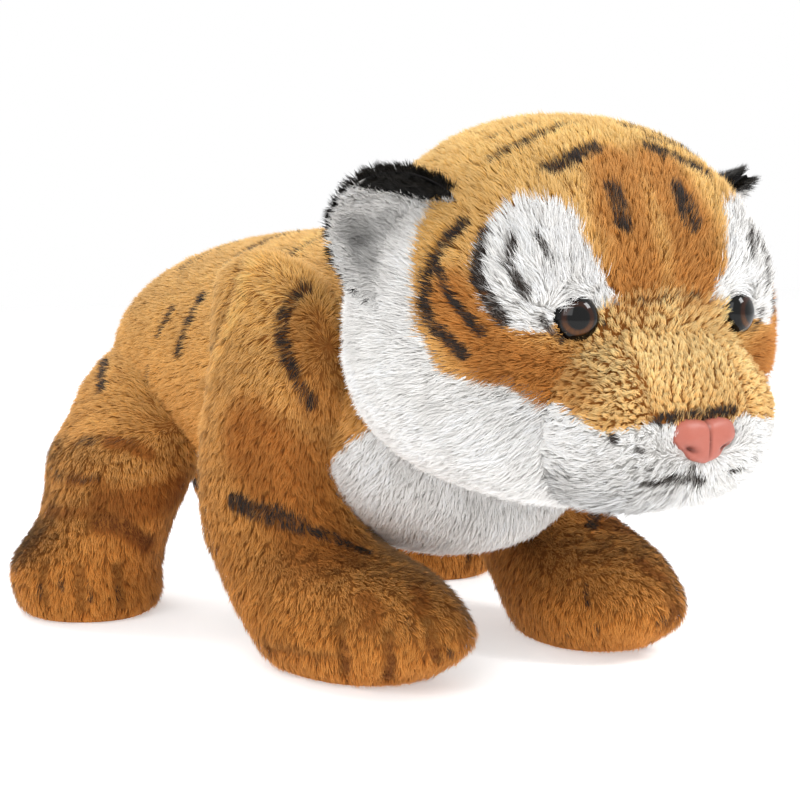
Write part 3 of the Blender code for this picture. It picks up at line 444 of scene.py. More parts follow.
def neck_ball(rows=40, columns=48):
    """A sphere whose poles lie along the neck, which is tilted from upright about X."""
    a = np.linspace(NECK_POLE, math.pi - NECK_POLE, rows + 1)[:, None]
    b = np.linspace(0, 2 * math.pi, columns + 1)
    local = columns_of(np.sin(a) * np.cos(b), np.sin(a) * np.sin(b), np.cos(a))
    c, s = math.cos(NECK_TILT), math.sin(NECK_TILT)
    turned = local @ np.array([[1, 0, 0], [0, c, s], [0, -s, c]])

    def depth(p):
        return np.linalg.norm(p - NECK_MIDDLE, axis=-1) / NECK_RADIUS - 1

    return Form(NECK_MIDDLE + NECK_RADIUS * turned, depth)


forms["neck"] = neck_ball()

# %% Tail
TAIL_RADIUS, TAIL_ROOT_Z, TAIL_DROP, TAIL_BACK, TAIL_SIDE = 0.0110, 0.150, 0.132, 0.0466, 0.044
TAIL_JOINT, TAIL_TIP = 0.42, 0.80
TAIL_STEP = 0.01          # share of the line on either side of a point that gives its way
TAIL_UP = (0.0, 1.0, 0.35)
# sideways, backwards and downwards shares of the middle line, and the radius
TAIL_PATH = [
    (0.00, -0.40, 0.00, 0.90),
    (0.00, 0.25, 0.04, 0.96),
    (0.02, 0.60, 0.20, 1.00),
    (0.08, 0.72, 0.40, 1.00),
    (0.22, 0.73, 0.60, 1.00),
    (0.46, 0.72, 0.80, 1.02),
    (0.76, 0.70, 0.93, 1.06),
    (0.94, 0.69, 0.99, 0.86),
    (1.00, 0.69, 1.00, 0.36),
]


def tail_line(shares):
    row = smooth_rows(TAIL_PATH, np.asarray(shares) * (len(TAIL_PATH) - 1))
    root_y = TORSO_FRONT + TORSO_LENGTH
    x, y = row[:, 0] * TAIL_SIDE, root_y + row[:, 1] * TAIL_BACK
    return columns_of(x, y, TAIL_ROOT_Z - row[:, 2] * TAIL_DROP), row[:, 3] * TAIL_RADIUS


def tail_tube(first, last, rows, columns=28):
    """Rings square to the middle line. Its way is the difference of points ahead and behind."""
    shares = np.linspace(first, last, rows + 1)
    middle, radius = tail_line(shares)
    ahead, behind = (np.clip(shares + step, 0, 1) for step in (TAIL_STEP, -TAIL_STEP))
    way = unit(tail_line(ahead)[0] - tail_line(behind)[0])
    across = unit(np.cross(way, TAIL_UP))
    other = np.cross(way, across)
    angle = np.linspace(0, 2 * math.pi, columns + 1)[None, :, None]
    ring = np.cos(angle) * across[:, None] + np.sin(angle) * other[:, None]
    points = middle[:, None] + radius[:, None, None] * ring
    return Form(with_end(points, first=first > 0, last=True))


forms["tail_base"] = tail_tube(0.0, TAIL_JOINT, 24)
forms["tail_end"] = tail_tube(TAIL_JOINT, TAIL_TIP, 24)
forms["tail_tip"] = tail_tube(TAIL_TIP, 1.0, 14)

# %% Ears
EAR_RADIUS, EAR_CUP, EAR_CURL = 0.028, 0.013, 0.010
EAR_MIDDLE = np.array([0.08372, -0.13431, 0.19495])
EAR_FACING = np.array([0.64, -0.75, -0.17])
EAR_WALL = 0.0026


def ear_axes(side):
    """The ear's own axes as rows: across, up the ear, and the way it faces."""
    z = unit(EAR_FACING * (side, 1, 1))
    x = unit(np.cross((0, 0, 1), z))
    return np.stack([x, np.cross(z, x), z])


def ear_cup(side, behind, rows=24, columns=56):
    """Cup: z = cup * (r^2 - 1), and above the middle it bends forward by curl * height^2 * r."""
    r = np.linspace(0, 1, rows + 1)[:, None]
    a = np.linspace(0, 2 * math.pi, columns + 1)
    x, y = r * np.cos(a), r * np.sin(a)
    z = EAR_CUP * (r * r - 1) + EAR_CURL * np.maximum(0, y) ** 2 * r - behind
    local = columns_of(x * EAR_RADIUS, y * EAR_RADIUS, z)
    form = Form(EAR_MIDDLE * (side, 1, 1) + local @ ear_axes(side))
    facing = (form.normals @ ear_axes(side)[2]).mean()
    if (facing < 0) == (behind == 0):
        form.normals = -form.normals
    return form


for side, word in SIDES:
    forms["ear_front_" + word] = ear_cup(side, 0)
    forms["ear_back_" + word] = ear_cup(side, EAR_WALL)
print("forms:", ", ".join(forms))

# %% [markdown]
# ## Stripes and other marks
# The dark marks are printed on the pile, but one of them is painted shade in the crease between the
# forehead and the snout's bridge. Each one is a line of places on the photograph, read as a column and
# a row, with a half width in millimetres. A ray from the camera carries each place onto the toy, so a
# mark sits on the surface from every side. A mark on the toy's right is repeated on its left, which the
# photograph doesn't show.

# %% Marks read from the photograph
# places, half width in millimetres, how dark
FACE_MARKS = [
    ([(463, 223), (440, 246), (427, 274), (423, 297), (427, 319), (450, 341), (464, 354)], 3.2, 1.0),
    ([(437, 268), (450, 297), (466, 316), (482, 332)], 2.2, 1.0),
    ([(486, 233), (478, 258), (480, 282), (492, 303), (505, 321)], 3.0, 1.0),
    ([(513, 243), (511, 268), (520, 284), (529, 296)], 2.5, 0.85),
    ([(537, 236), (545, 248), (553, 264)], 1.7, 0.75),
    ([(489, 158), (528, 139), (572, 120)], 2.3, 0.75),
    ([(492, 135), (537, 120)], 1.8, 0.5),
    ([(550, 168), (574, 157), (598, 145)], 4.0, 0.9),
    ([(616, 188), (622, 205), (627, 224)], 4.6, 0.9),
    ([(545, 318), (552, 331), (566, 341)], 1.6, 0.9),
    ([(598, 322), (606, 325)], 1.4, 0.8),
]
# these lie on the middle line or show on both halves of the face, and aren't repeated
LONE_MARKS = [
    ([(692, 199), (702, 221)], 2.8, 0.8),
    ([(652, 136), (675, 142), (697, 154)], 2.5, 0.7),
    # painted shade: the crease between the forehead and the snout's bridge
    ([(640, 303), (668, 300), (702, 297)], 2.0, 0.45),
    ([(664, 420), (690, 417), (715, 414), (738, 410)], 2.6, 1.0),
    ([(645, 487), (660, 486), (675, 482)], 1.6, 0.9),
    ([(675, 482), (690, 479), (704, 483)], 3.0, 1.0),
    ([(697, 466), (695, 480)], 1.4, 0.9),
    ([(614, 439), (617, 441)], 1.8, 1.0),
    ([(641, 451), (645, 453)], 1.5, 0.9),
    ([(660, 454), (664, 454)], 1.2, 0.8),
    ([(636, 470), (640, 472)], 1.2, 0.9),
    ([(650, 472), (655, 472)], 1.1, 0.8),
    ([(619, 466), (621, 468)], 1.0, 0.7),
    ([(735, 474), (744, 471)], 1.3, 0.9),
    ([(756, 461), (760, 459)], 1.2, 0.5),
    ([(751, 228), (757, 248)], 2.4, 0.6),
    ([(766, 244), (774, 268), (770, 284)], 2.4, 0.75),
]
BODY_MARKS = [
    ([(307, 284), (287, 309), (281, 327), (286, 350), (296, 373), (313, 404)], 3.6, 0.9),
    ([(202, 293), (185, 325), (176, 353)], 3.0, 0.9),
    ([(171, 306), (163, 320), (156, 333)], 2.4, 0.8),
    ([(146, 368), (146, 382)], 2.2, 0.4),
    ([(109, 336), (103, 360), (101, 386)], 3.4, 0.9),
    ([(231, 500), (250, 507), (275, 514), (300, 523)], 4.6, 1.0),
    ([(280, 516), (310, 526), (335, 535), (366, 548)], 3.0, 1.0),
    ([(408, 618), (411, 625)], 1.8, 0.6),
    ([(449, 649), (455, 655)], 1.8, 0.6),
    ([(583, 583), (586, 603)], 1.8, 0.8),
    ([(566, 632), (566, 638)], 1.5, 0.5),
    ([(596, 626), (596, 632)], 1.5, 0.5),
    ([(75, 440), (105, 437), (135, 441)], 2.6, 0.45),
    ([(53, 472), (74, 476), (95, 476)], 2.6, 0.5),
    ([(36, 584), (37, 597)], 1.7, 0.6),
    ([(60, 574), (61, 588)], 1.7, 0.6),
    ([(90, 584), (91, 598)], 1.7, 0.6),
    ([(120, 590), (122, 601)], 1.7, 0.6),
]
MARK_HEIGHT = 0.004       # the marks show at the top of the pile


def skins_as_tree(lift):
    """All forms in one search tree, each moved outwards along its normals by the pile's height."""
    corners, faces, count = [], [], 0
    for form in forms.values():
        grid = form.points + form.normals * lift
        at = np.arange(grid[..., 0].size).reshape(grid.shape[:2]) + count
        corners.append(grid.reshape(-1, 3))
        faces.append(np.stack(four_corners(at), -1).reshape(-1, 4))
        count += at.size
    return BVHTree.FromPolygons(np.concatenate(corners).tolist(), np.concatenate(faces).tolist())


toy_outside = skins_as_tree(MARK_HEIGHT)


def on_toy(column, row):
    """First point on the ray: way + (right * column offset + up * row offset) / focal length."""
    right = LOOK_WAY.cross(Vector((0, 0, 1))).normalized()
    up = right.cross(LOOK_WAY)
    half = PICTURE_SIDE / 2
    ray = LOOK_WAY + right * ((column - half) / FOCAL_PIXELS) + up * ((half - row) / FOCAL_PIXELS)
    return toy_outside.ray_cast(camera.location, ray.normalized())[0]


def carried(marks):
    """Marks with their places carried onto the toy. Places beside the toy are left out."""
    found = []
    for places, half_width, strength in marks:
        line = [p for p in (on_toy(*place) for place in places) if p is not None]
        if len(line) > 1:
            found.append((np.array(line), half_width / 1000, strength))
    return found


def both_sides(marks):
    return marks + [(line * (-1, 1, 1), *rest) for line, *rest in marks]


stripes_and_crease_shade = both_sides(carried(FACE_MARKS + BODY_MARKS)) + carried(LONE_MARKS)
print(len(stripes_and_crease_shade), "marks on the toy")

# %% [markdown]
# ## Where white meets tan
# The borders of the eye patch, of the face's tan mask and of the white chest are printed too. They
# are outlines on the photograph. A point of the toy is put onto the photograph by the camera's own
# rule, after a point of the left half has been mirrored to the right half, which is the one shown.

# %% Outlines of the printed areas
PATCH_OUTLINE = [(498, 214), (523, 201), (555, 206), (577, 217), (587, 246), (600, 274), (624, 300),
                 (596, 316), (536, 335), (504, 325), (485, 303), (474, 271), (478, 239)]
MASK_OUTLINE = [(380, 60), (405, 195), (430, 200), (415, 260), (420, 330), (440, 372), (520, 390),
                (560, 405), (600, 432), (612, 431), (640, 428), (663, 421), (686, 434), (720, 424),
                (800, 424), (800, 60)]
SNOUT_OUTLINE = [(592, 321), (604, 308), (628, 302), (652, 294), (700, 291), (800, 300), (800, 430),
                 (598, 430), (579, 398), (583, 375), (590, 350)]
CHEST_OUTLINE = [(384, 418), (350, 440), (318, 472), (340, 500), (372, 530), (402, 560), (470, 600),
                 (640, 600), (640, 400)]
EAR_DARK_OUTLINE = [(320, 140), (480, 140), (480, 203), (430, 209), (400, 201), (362, 193), (320, 203)]
FACE_REAR = -0.135        # the mask and the patch lie in front of this
CHEEK_REAR = -0.118       # and on the cheeks in front of this, under the ear


def pixels_of(p):
    """Column = middle + focal length * (right . away) / (way . away), and the row is counted down."""
    way = np.array(LOOK_WAY)
    right = unit(np.cross(way, (0, 0, 1)))
    up = np.cross(right, way)
    away = p - np.array(camera.location)
    scale = FOCAL_PIXELS / (away @ way)
    half = PICTURE_SIDE / 2
    return half + (away @ right) * scale, half - (away @ up) * scale


def inside_outline(p, outline, blur, rng):
    """Counts the sides that a ray to the right crosses: an odd count is inside. Blur is in pixels."""
    column, row = pixels_of(columns_of(-np.abs(p[:, 0]), p[:, 1], p[:, 2]))
    column, row = (place + rng.normal(0, blur, len(p)) for place in (column, row))
    inside = np.zeros(len(p), bool)
    for (ax, ay), (bx, by) in zip(outline, outline[1:] + outline[:1]):
        between = (ay > row) != (by > row)
        crossing = ax + (row - ay) * (bx - ax) / ((by - ay) or TINY)
        inside ^= between & (column < crossing)
    return inside


print("outlines of", len(PATCH_OUTLINE), "and", len(MASK_OUTLINE), "corners")

# %% [markdown]
# ## Marks that the photograph doesn't show
# The back, the rump and the tail are striped like the flank: short bars across the spine, and rings
# on the tail. These follow from a few heights and places along the body.

# %% Stripes of the back and the tail
BAR_PLACES = (0.015, 0.062, 0.105, 0.146)
BAR_REACH, BAR_SLANT = (0.014, 0.052), 0.15
BAR_HALF_WIDTH, BAR_STRENGTH, BAR_POINTS = 0.0026, 0.75, 4
UPPER_LEFT = 20           # columns of the torso from its left to its top
# rows of each tube's own grid
TAIL_RINGS = {"tail_base": (8, 17), "tail_end": (6, 14, 22)}
RING_HALF_WIDTH, RING_STRENGTH = 0.0030, 0.85
EDGE_START, EDGE_END = 0.55, 1.45          # a mark's soft edge, in half widths


def back_bar(y, side):
    """A bar over the back: the nearest point of the torso to each (x, y + slant * x)."""
    torso = forms["torso"]
    flat, normal = (grid[:, :UPPER_LEFT].reshape(-1, 3) for grid in (torso.points, torso.normals))
    line = []
    for x in np.linspace(*BAR_REACH, BAR_POINTS):
        near = np.argmin((flat[:, 0] - x) ** 2 + (flat[:, 1] - y - BAR_SLANT * x) ** 2)
        line.append((flat[near] + normal[near] * MARK_HEIGHT) * (side, 1, 1))
    return np.array(line), BAR_HALF_WIDTH, BAR_STRENGTH


stripes_and_crease_shade += [back_bar(place, side) for place in BAR_PLACES for side, _ in SIDES]
for name, rows in TAIL_RINGS.items():
    tube = forms[name]
    for row in rows:
        ring = tube.points[row, ::2] + tube.normals[row, ::2] * MARK_HEIGHT
        stripes_and_crease_shade.append((ring, RING_HALF_WIDTH, RING_STRENGTH))


def distance_to_line(p, line):
    """Smallest distance to the line's spans: to a + t * (b - a), where t is held between 0 and 1."""
    best = np.full(len(p), np.inf)
    for a, b in zip(line[:-1], line[1:]):
        span = b - a
        t = np.clip((p - a) @ span / max(span @ span, TINY), 0, 1)
        best = np.minimum(best, np.linalg.norm(p - (a + t[:, None] * span), axis=1))
    return best


def near_lines(p, lines, total):
    """Joins strength * (1 on a line, 0 off it, with a soft edge) over all lines."""
    found = np.zeros(len(p))
    low, high = p.min(axis=0), p.max(axis=0)
    for line, half_width, strength in lines:
        reach = 2 * half_width
        if (line.max(axis=0) < low - reach).any() or (line.min(axis=0) > high + reach).any():
            continue
        away = distance_to_line(p, line)
        edge = soft_step(away, EDGE_START * half_width, EDGE_END * half_width)
        found = total(found, strength * (1 - edge))
    return found


print(len(stripes_and_crease_shade), "marks in all")

# %% [markdown]
# ## Folds, painted in light and shade
# The cloth is loose at the shoulder and the neck and lies in soft folds. A fold is painted as a ridge
# of painted light beside a furrow of painted shade, which are lines as well. The toes are parted by
# furrows of painted shade, where the pile is also shorter, and the hollow of the ear is painted in
# shade in the same way. Other lines paint shade under the thigh and in the toes' furrows, and make the
# tan darker and redder on the face and the legs.

# %% Ridges and furrows
# places, half width in millimetres, change of shade: above 0 painted light on a ridge, below 0 painted
# shade in a furrow
FOLD_LIGHT_AND_SHADE_LINES = [
    ([(319, 231), (255, 264), (240, 302), (227, 328), (217, 353), (209, 379), (202, 417),
      (194, 450)], 4.5, 0.20),
    ([(281, 246), (240, 268), (228, 300), (213, 340), (201, 385)], 3.5, -0.24),
    ([(344, 358), (357, 390), (372, 410)], 4.5, 0.16),
    ([(332, 345), (345, 390), (358, 418)], 4.0, -0.22),
    ([(268, 418), (300, 425), (330, 440)], 6.0, -0.16),
    ([(85, 424), (115, 418)], 4.5, 0.14),
    ([(150, 400), (178, 452), (190, 480)], 5.0, -0.12),
    ([(360, 228), (366, 240), (369, 254)], 6.0, -0.26),
    ([(262, 645), (300, 652), (345, 657)], 3.0, -0.34),
    ([(338, 622), (343, 655), (342, 676)], 3.2, -0.42),
    ([(386, 632), (390, 662), (387, 684)], 3.2, -0.42),
    ([(428, 618), (436, 648), (440, 664)], 3.2, -0.42),
    ([(90, 519), (122, 524), (152, 543)], 4.5, -0.40),
    ([(44, 562), (41, 580), (44, 602)], 3.0, -0.40),
    ([(79, 566), (80, 590), (82, 612)], 3.0, -0.40),
    ([(118, 566), (122, 590), (122, 608)], 3.0, -0.40),
    ([(350, 231), (364, 235), (379, 232), (391, 224)], 5.5, -0.26),
    ([(360, 247), (366, 258), (370, 268)], 5.5, -0.18),
]
# places, half width, how much darker and redder: painted shade under the thigh and in the toes'
# furrows, and elsewhere on the face and the legs a darker, redder tan
SHADE_AND_TONE_LINES = [
    ([(450, 300), (500, 360), (570, 385)], 12.0, 0.8),
    ([(250, 440), (290, 480), (320, 540)], 20.0, 0.95),
    ([(312, 330), (322, 400)], 12.0, 0.5),
    ([(620, 170), (628, 230), (640, 285)], 14.0, 0.7),
    ([(100, 500), (140, 502), (180, 488)], 9.0, 1.3),
    ([(95, 519), (125, 525), (152, 544)], 5.0, 1.8),
    ([(45, 506), (65, 508), (90, 506)], 3.0, 0.9),
    ([(66, 476), (85, 474), (104, 480)], 3.0, 0.9),
    ([(110, 438), (130, 440), (150, 450)], 3.5, 1.2),
    ([(340, 640), (343, 655), (342, 672)], 2.4, 1.3),
    ([(388, 645), (390, 662), (387, 682)], 2.4, 1.3),
    ([(430, 638), (436, 650), (438, 660)], 2.4, 1.3),
    ([(360, 592), (372, 604), (368, 618)], 4.0, 1.0),
    ([(414, 584), (420, 594), (416, 604)], 4.0, 1.2),
]
fold_light_and_shade, shade_and_tone_lines = both_sides(carried(FOLD_LIGHT_AND_SHADE_LINES)), both_sides(carried(SHADE_AND_TONE_LINES))
print(len(fold_light_and_shade), "ridges and furrows")

# %% [markdown]
# ## How the pile is grown
# A blade is a narrow kite of two triangles: pointed at the root and the tip and widest at its bend.
# It starts at a random spot of the panel, rises steeply and then lies over in the direction that the
# pile was combed. Real pile sticks together in small locks, so the blades near one lock's middle
# share its lean and its shade. Light scatters between real fibres and leaves them evenly lit, so a
# blade is shaded mostly with the normal of the cloth under it and only partly with its own.


# %% Random fields
RIPPLE_GAIN = 2.4         # brings the mean of the sines back to about one


def scrambled(key, seed):
    """Three even random numbers from three whole ones: multiply, mix and keep the low bits."""
    h = (key[:, 0] * 73856093) ^ (key[:, 1] * 19349663) ^ (key[:, 2] * 83492791) ^ (seed * 2654435761)
    parts = []
    for k in range(3):
        h = (h ^ (h >> 13)) * 1274126177 & 0xFFFFFFFF
        h = (h ^ (h >> 16)) * (668265263 + 2 * k) & 0xFFFFFFFF
        parts.append((h & 0xFFFF) / 65535.0)
    return np.stack(parts, -1)


def locks(p, size, seed):
    """Nearest of one random middle per cube of space, and three random numbers of its own."""
    cell = np.floor(p / size).astype(np.int64)
    nearest = np.full(len(p), np.inf)
    middle, share = np.zeros((len(p), 3)), np.zeros((len(p), 3))
    for step in np.ndindex(3, 3, 3):
        key = cell + np.array(step) - 1
        random = scrambled(key, seed)
        there = (key + random) * size
        away = ((p - there) ** 2).sum(axis=1)
        closer = away < nearest
        nearest[closer] = away[closer]
        middle[closer], share[closer] = there[closer], scrambled(key, seed + 7)[closer]
    return middle, share


def ripple(p, size, seed, waves=9):
    """A smooth random field from -1 to 1: the mean of sines along random ways, scaled up."""
    rng = np.random.default_rng(seed)
    ways = unit(rng.normal(size=(waves, 3)))
    ways = ways * rng.uniform(0.6, 1.5, (waves, 1)) * 2 * math.pi / size
    phase = rng.uniform(0, 2 * math.pi, waves)
    return np.clip(np.sin(p @ ways.T + phase).mean(axis=1) * RIPPLE_GAIN, -1, 1)


# %% Spots on a panel
def spots_on(form, used, density, rng):
    """Random spots on the used cells, shared out by area. Density is to the square metre."""
    a, b, c, d = four_corners(form.points)
    area = np.linalg.norm(np.cross(c - a, d - b), axis=-1) / 2 * used
    count = int(area.sum() * density)
    total = np.cumsum(area.ravel())
    cell = np.searchsorted(total, rng.random(count) * total[-1])
    row, column = np.divmod(np.minimum(cell, area.size - 1), area.shape[1])
    return row, column, rng.random(count), rng.random(count)


def read_at(field, spots):
    """The field between the four corners of each spot's cell."""
    row, column, u, v = spots
    u, v = u[:, None], v[:, None]
    near, far = (field[row, at] * (1 - u) + field[row + 1, at] * u for at in (column, column + 1))
    return near * (1 - v) + far * v


# %% Blades
# each point's colour: the dye with its painted light and shade
PAINT_NAME = "dye"
FLOOR_GAP = 0.0004
BEND_SHARE = 0.45         # of the blade's length, from root to bend
TIP_DROP = 0.60           # the tip lies over by this angle past the bend
BEND_PULL = 0.4           # how far the bend follows the tip to the lock's middle
OWN_NORMAL_SHARE = 0.30
# spread of each lock in radians, and of each blade: in turn, rise and roll
LOCK_TURN, LOCK_RISE = 1.2, 0.6
TURN_SPREAD, RISE_SPREAD, ROLL_SPREAD = 0.18, 0.13, 0.5
LENGTH_RANGE, WIDTH_RANGE = (0.74, 1.12), (0.7, 1.25)


def blades(root, normal, way, length, kind, pull_share, rng, seed):
    """Root, bend and tip: each step is its length times (normal * sine + lean * cosine) of its rise."""
    count = len(root)
    middle, share = locks(root, kind.lock_size / 1000, seed)
    turn = (share[:, 0] - 0.5) * LOCK_TURN * kind.mess + rng.normal(0, TURN_SPREAD, count)
    lean = way * np.cos(turn)[:, None] + np.cross(normal, way) * np.sin(turn)[:, None]
    rise = math.radians(kind.rise) + (share[:, 1] - 0.5) * LOCK_RISE * kind.mess
    rise = rise + rng.normal(0, RISE_SPREAD, count)
    size = length * rng.uniform(*LENGTH_RANGE, count)

    def step(part, angle):
        up, on = np.sin(angle)[:, None], np.cos(angle)[:, None]
        return (part * size)[:, None] * (normal * up + lean * on)

    bend = root + step(BEND_SHARE, rise)
    tip = bend + step(1 - BEND_SHARE, rise - TIP_DROP)
    pull = middle - root
    pull -= normal * (pull * normal).sum(axis=1, keepdims=True)
    bend = bend + pull * pull_share * BEND_PULL
    tip = tip + pull * pull_share
    roll = rng.normal(0, ROLL_SPREAD, count)[:, None]
    side = unit(np.cross(normal, lean)) * np.cos(roll) + normal * np.sin(roll)
    half = (kind.width / 1000 * rng.uniform(*WIDTH_RANGE, count) / 2)[:, None]
    corners = np.stack([root, bend - side * half, bend + side * half, tip], axis=1)
    corners[..., 2] = np.maximum(corners[..., 2], FLOOR_GAP)
    own = unit(np.cross(tip - root, side))
    return corners, unit(normal * (1 - OWN_NORMAL_SHARE) + own * OWN_NORMAL_SHARE), share[:, 2]


def add_point_colours(mesh, colours):
    """One colour to each point of the mesh."""
    layer = mesh.color_attributes.new(PAINT_NAME, "FLOAT_COLOR", "POINT")
    rgba = np.concatenate([colours, np.ones((len(colours), 1))], axis=1)
    layer.data.foreach_set("color", rgba.astype(np.float32).ravel())


# a blade's two triangles by its corners root, left, right and tip, and its places in its map cell
BLADE_FACES = np.array([0, 1, 2, 1, 3, 2])
BLADE_MAP = np.array([(0.5, 0.15), (0.2, 0.5), (0.8, 0.5), (0.5, 0.85)])


def blade_mesh(name, corners, normals, colours):
    """Four corners to a blade. Its normal, its colour and its own small cell of the map follow it."""
    count = len(corners)
    order = np.argsort(colours[:, 1].mean(axis=1))
    corners, normals, colours = corners[order], normals[order], colours[order]
    index = (np.arange(count)[:, None] * 4 + BLADE_FACES).ravel()
    mesh = bpy.data.meshes.new(name)
    mesh.vertices.add(count * 4)
    mesh.vertices.foreach_set("co", corners.astype(np.float32).ravel())
    mesh.loops.add(len(index))
    mesh.loops.foreach_set("vertex_index", index.astype(np.int32))
    mesh.polygons.add(count * 2)
    mesh.polygons.foreach_set("loop_start", np.arange(0, count * 6, 3, dtype=np.int32))
    mesh.polygons.foreach_set("use_smooth", np.ones(count * 2, bool))
    side = math.ceil(math.sqrt(count))
    cell = np.stack([np.arange(count) % side, np.arange(count) // side], -1)[:, None] / side
    layer = mesh.uv_layers.new(name="OFBake")
    flat = (cell + BLADE_MAP / side).reshape(-1, 2)[index]
    layer.data.foreach_set("uv", flat.astype(np.float32).ravel())
    layer.active_render = True
    add_point_colours(mesh, colours.reshape(-1, 3))
    lit = mesh.attributes.new("custom_normal", "FLOAT_VECTOR", "POINT")
    lit.data.foreach_set("vector", np.repeat(normals, 4, axis=0).astype(np.float32).ravel())
    mesh.update()
    return new_object(name, mesh)


print("blades ready")

# %% [markdown]
# ## Finishes
# The backing cloth is a knit, seen only as a shade between the blades. Pile, cloth, filling and
# plastic each have their own material. Slow and fine changes of shade are wanted in all of them, so
# one node group works out both from the place on the object.

# %% Shared node group
def shade_change_group():
    """Colour times (1 + slow noise * Slow + fine noise * Fine). Height is the fine noise."""
    group = bpy.data.node_groups.new("shade_change", "ShaderNodeTree")
    inputs = {"Color": (1, 1, 1, 1), "Slow Size": 30.0, "Slow": 0.2, "Fine Size": 900.0, "Fine": 0.1}
    for label, value in inputs.items():
        kind = "NodeSocketColor" if label == "Color" else "NodeSocketFloat"
        group.interface.new_socket(label, in_out="INPUT", socket_type=kind).default_value = value
    for label, kind in (("Color", "NodeSocketColor"), ("Height", "NodeSocketFloat")):
        group.interface.new_socket(label, in_out="OUTPUT", socket_type=kind)
    entry = group.nodes.new("NodeGroupInput").outputs
    place = add_node(group, "TexCoord").outputs["Object"]
    amounts = []
    for word in ("Slow", "Fine"):
        values = {"Vector": place, "Scale": entry[word + " Size"], "Detail": 3.0}
        noise = add_node(group, "TexNoise", values).outputs["Fac"]
        centred = combine(group, "SUBTRACT", noise, 0.5)
        amounts.append(combine(group, "MULTIPLY", centred, entry[word]))
    level = combine(group, "ADD", combine(group, "ADD", *amounts), 1.0)
    values = {0: entry["Color"], "Scale": level}
    tint = add_node(group, "VectorMath", values, operation="SCALE").outputs[0]
    feed(group, group.nodes.new("NodeGroupOutput"), {"Color": tint, "Height": noise})
    return group


SHADE_CHANGE = shade_change_group()


def coloured_look(name, finish, noise, colour=None):
    """A colour, one all over or painted on the points with any painted light and shade, changed at
    random in shade by the group.
    """
    look, tree, shader = new_material(name, finish)
    if colour is None:
        dye = add_node(tree, "Attribute", attribute_name=PAINT_NAME).outputs["Color"]
    else:
        dye = (*colour, 1)
    shade = add_node(tree, "Group", {**noise, "Color": dye}, node_tree=SHADE_CHANGE).outputs
    feed(tree, shader, {"Base Color": shade["Color"]})
    return look, tree, shader, shade["Height"]


def add_bump(tree, shader, height, distance, strength):
    values = {"Height": height, "Distance": distance, "Strength": strength}
    feed(tree, shader, {"Normal": add_node(tree, "Bump", values).outputs["Normal"]})


# %% Pile, backing cloth and filling
PILE_NOISE = {"Slow Size": 28.0, "Slow": 0.28, "Fine Size": 600.0, "Fine": 0.25}
CLOTH_NOISE = {"Slow Size": 40.0, "Slow": 0.3, "Fine Size": 1500.0, "Fine": 0.35}
CLOTH_FINISH = {"Roughness": 0.95, "Specular IOR Level": 0.12}
KNIT_DEPTH, KNIT_STRENGTH = 0.0004, 0.6
HAZE_ROUGHNESS, HAZE_COLOUR = 0.4, (1.0, 0.82, 0.58, 1)
# roughness, gloss and haze of the pile of each slot
PILE_FINISH = {
    "tan_plush": (0.75, 0.2, 0.12),
    "white_plush": (0.80, 0.2, 0.04),
    "black_plush": (0.65, 0.3, 0.02),
}


def pile_look(name, roughness, gloss, haze):
    """The blades' painted colour, and a pale haze at edges. Normal * (1 - 2 * backfacing) keeps the
    normal of the cloth below where a blade is seen from behind."""
    finish = {"Roughness": roughness, "Specular IOR Level": gloss, "Sheen Weight": haze,
              "Sheen Roughness": HAZE_ROUGHNESS, "Sheen Tint": HAZE_COLOUR}
    look, tree, shader, _ = coloured_look(name, finish, PILE_NOISE)
    seen = add_node(tree, "NewGeometry").outputs
    sign = combine(tree, "MULTIPLY_ADD", seen["Backfacing"], -2.0, 1.0)
    values = {0: seen["Normal"], "Scale": sign}
    turned = add_node(tree, "VectorMath", values, operation="SCALE").outputs[0]
    feed(tree, shader, {"Normal": turned})
    return look


def cloth_look(name, colour=None):
    """Knitted backing: its fine noise is a bump too."""
    look, tree, shader, height = coloured_look(name, CLOTH_FINISH, CLOTH_NOISE, colour)
    add_bump(tree, shader, height, KNIT_DEPTH, KNIT_STRENGTH)
    return look


PILE_LOOKS = {slot: pile_look("pile_" + slot.split("_")[0], *finish)
              for slot, finish in PILE_FINISH.items()}
CLOTH_LOOKS = {slot: cloth_look("cloth_" + slot.split("_")[0]) for slot in PILE_FINISH}
TAN_CLOTH, WHITE_CLOTH = (0.34, 0.125, 0.028), (0.62, 0.60, 0.57)
BLACK_CLOTH = (0.010, 0.009, 0.009)
SOLE_LOOK = cloth_look("cloth_sole", TAN_CLOTH)
FILLING_LOOK = cloth_look("fibre_filling", (0.86, 0.86, 0.84))
print(len(bpy.data.materials), "materials")

# %% [markdown]
# ## Panels
# Each panel is some cells of a form: an interval of angles round it and an interval of its length.
# An angle of 0 points to the toy's left and 90 points up. The right side is the left one mirrored.

# %% Which cells each panel has
# rings between the ends, and rings of the end before them
ROWS_OF = {"torso": (60, 0), "head": (64, 4), "muzzle": (48, 0)}


def cells(form_name, *areas):
    """Cells whose middle is in any area (from degree, to degree, from share, to share)."""
    rows, columns = (n - 1 for n in forms[form_name].points.shape[:2])
    angle = (np.arange(columns) + 0.5) * 360 / columns
    whole, before = ROWS_OF.get(form_name, (rows, 0))
    along = np.maximum((np.arange(rows) + 0.5 - before) / whole, 0.5 / whole)
    used = np.zeros((rows, columns), bool)
    for start, end, first, last in areas:
        turned = (angle - start) % 360 < end - start
        used |= ((along > first) & (along < last))[:, None] & turned[None, :]
    return used


def on_side(areas, side):
    """An angle becomes 180 less itself on the toy's right."""
    if side > 0:
        return areas
    return [(180 - end, 180 - start, first, last) for start, end, first, last in areas]


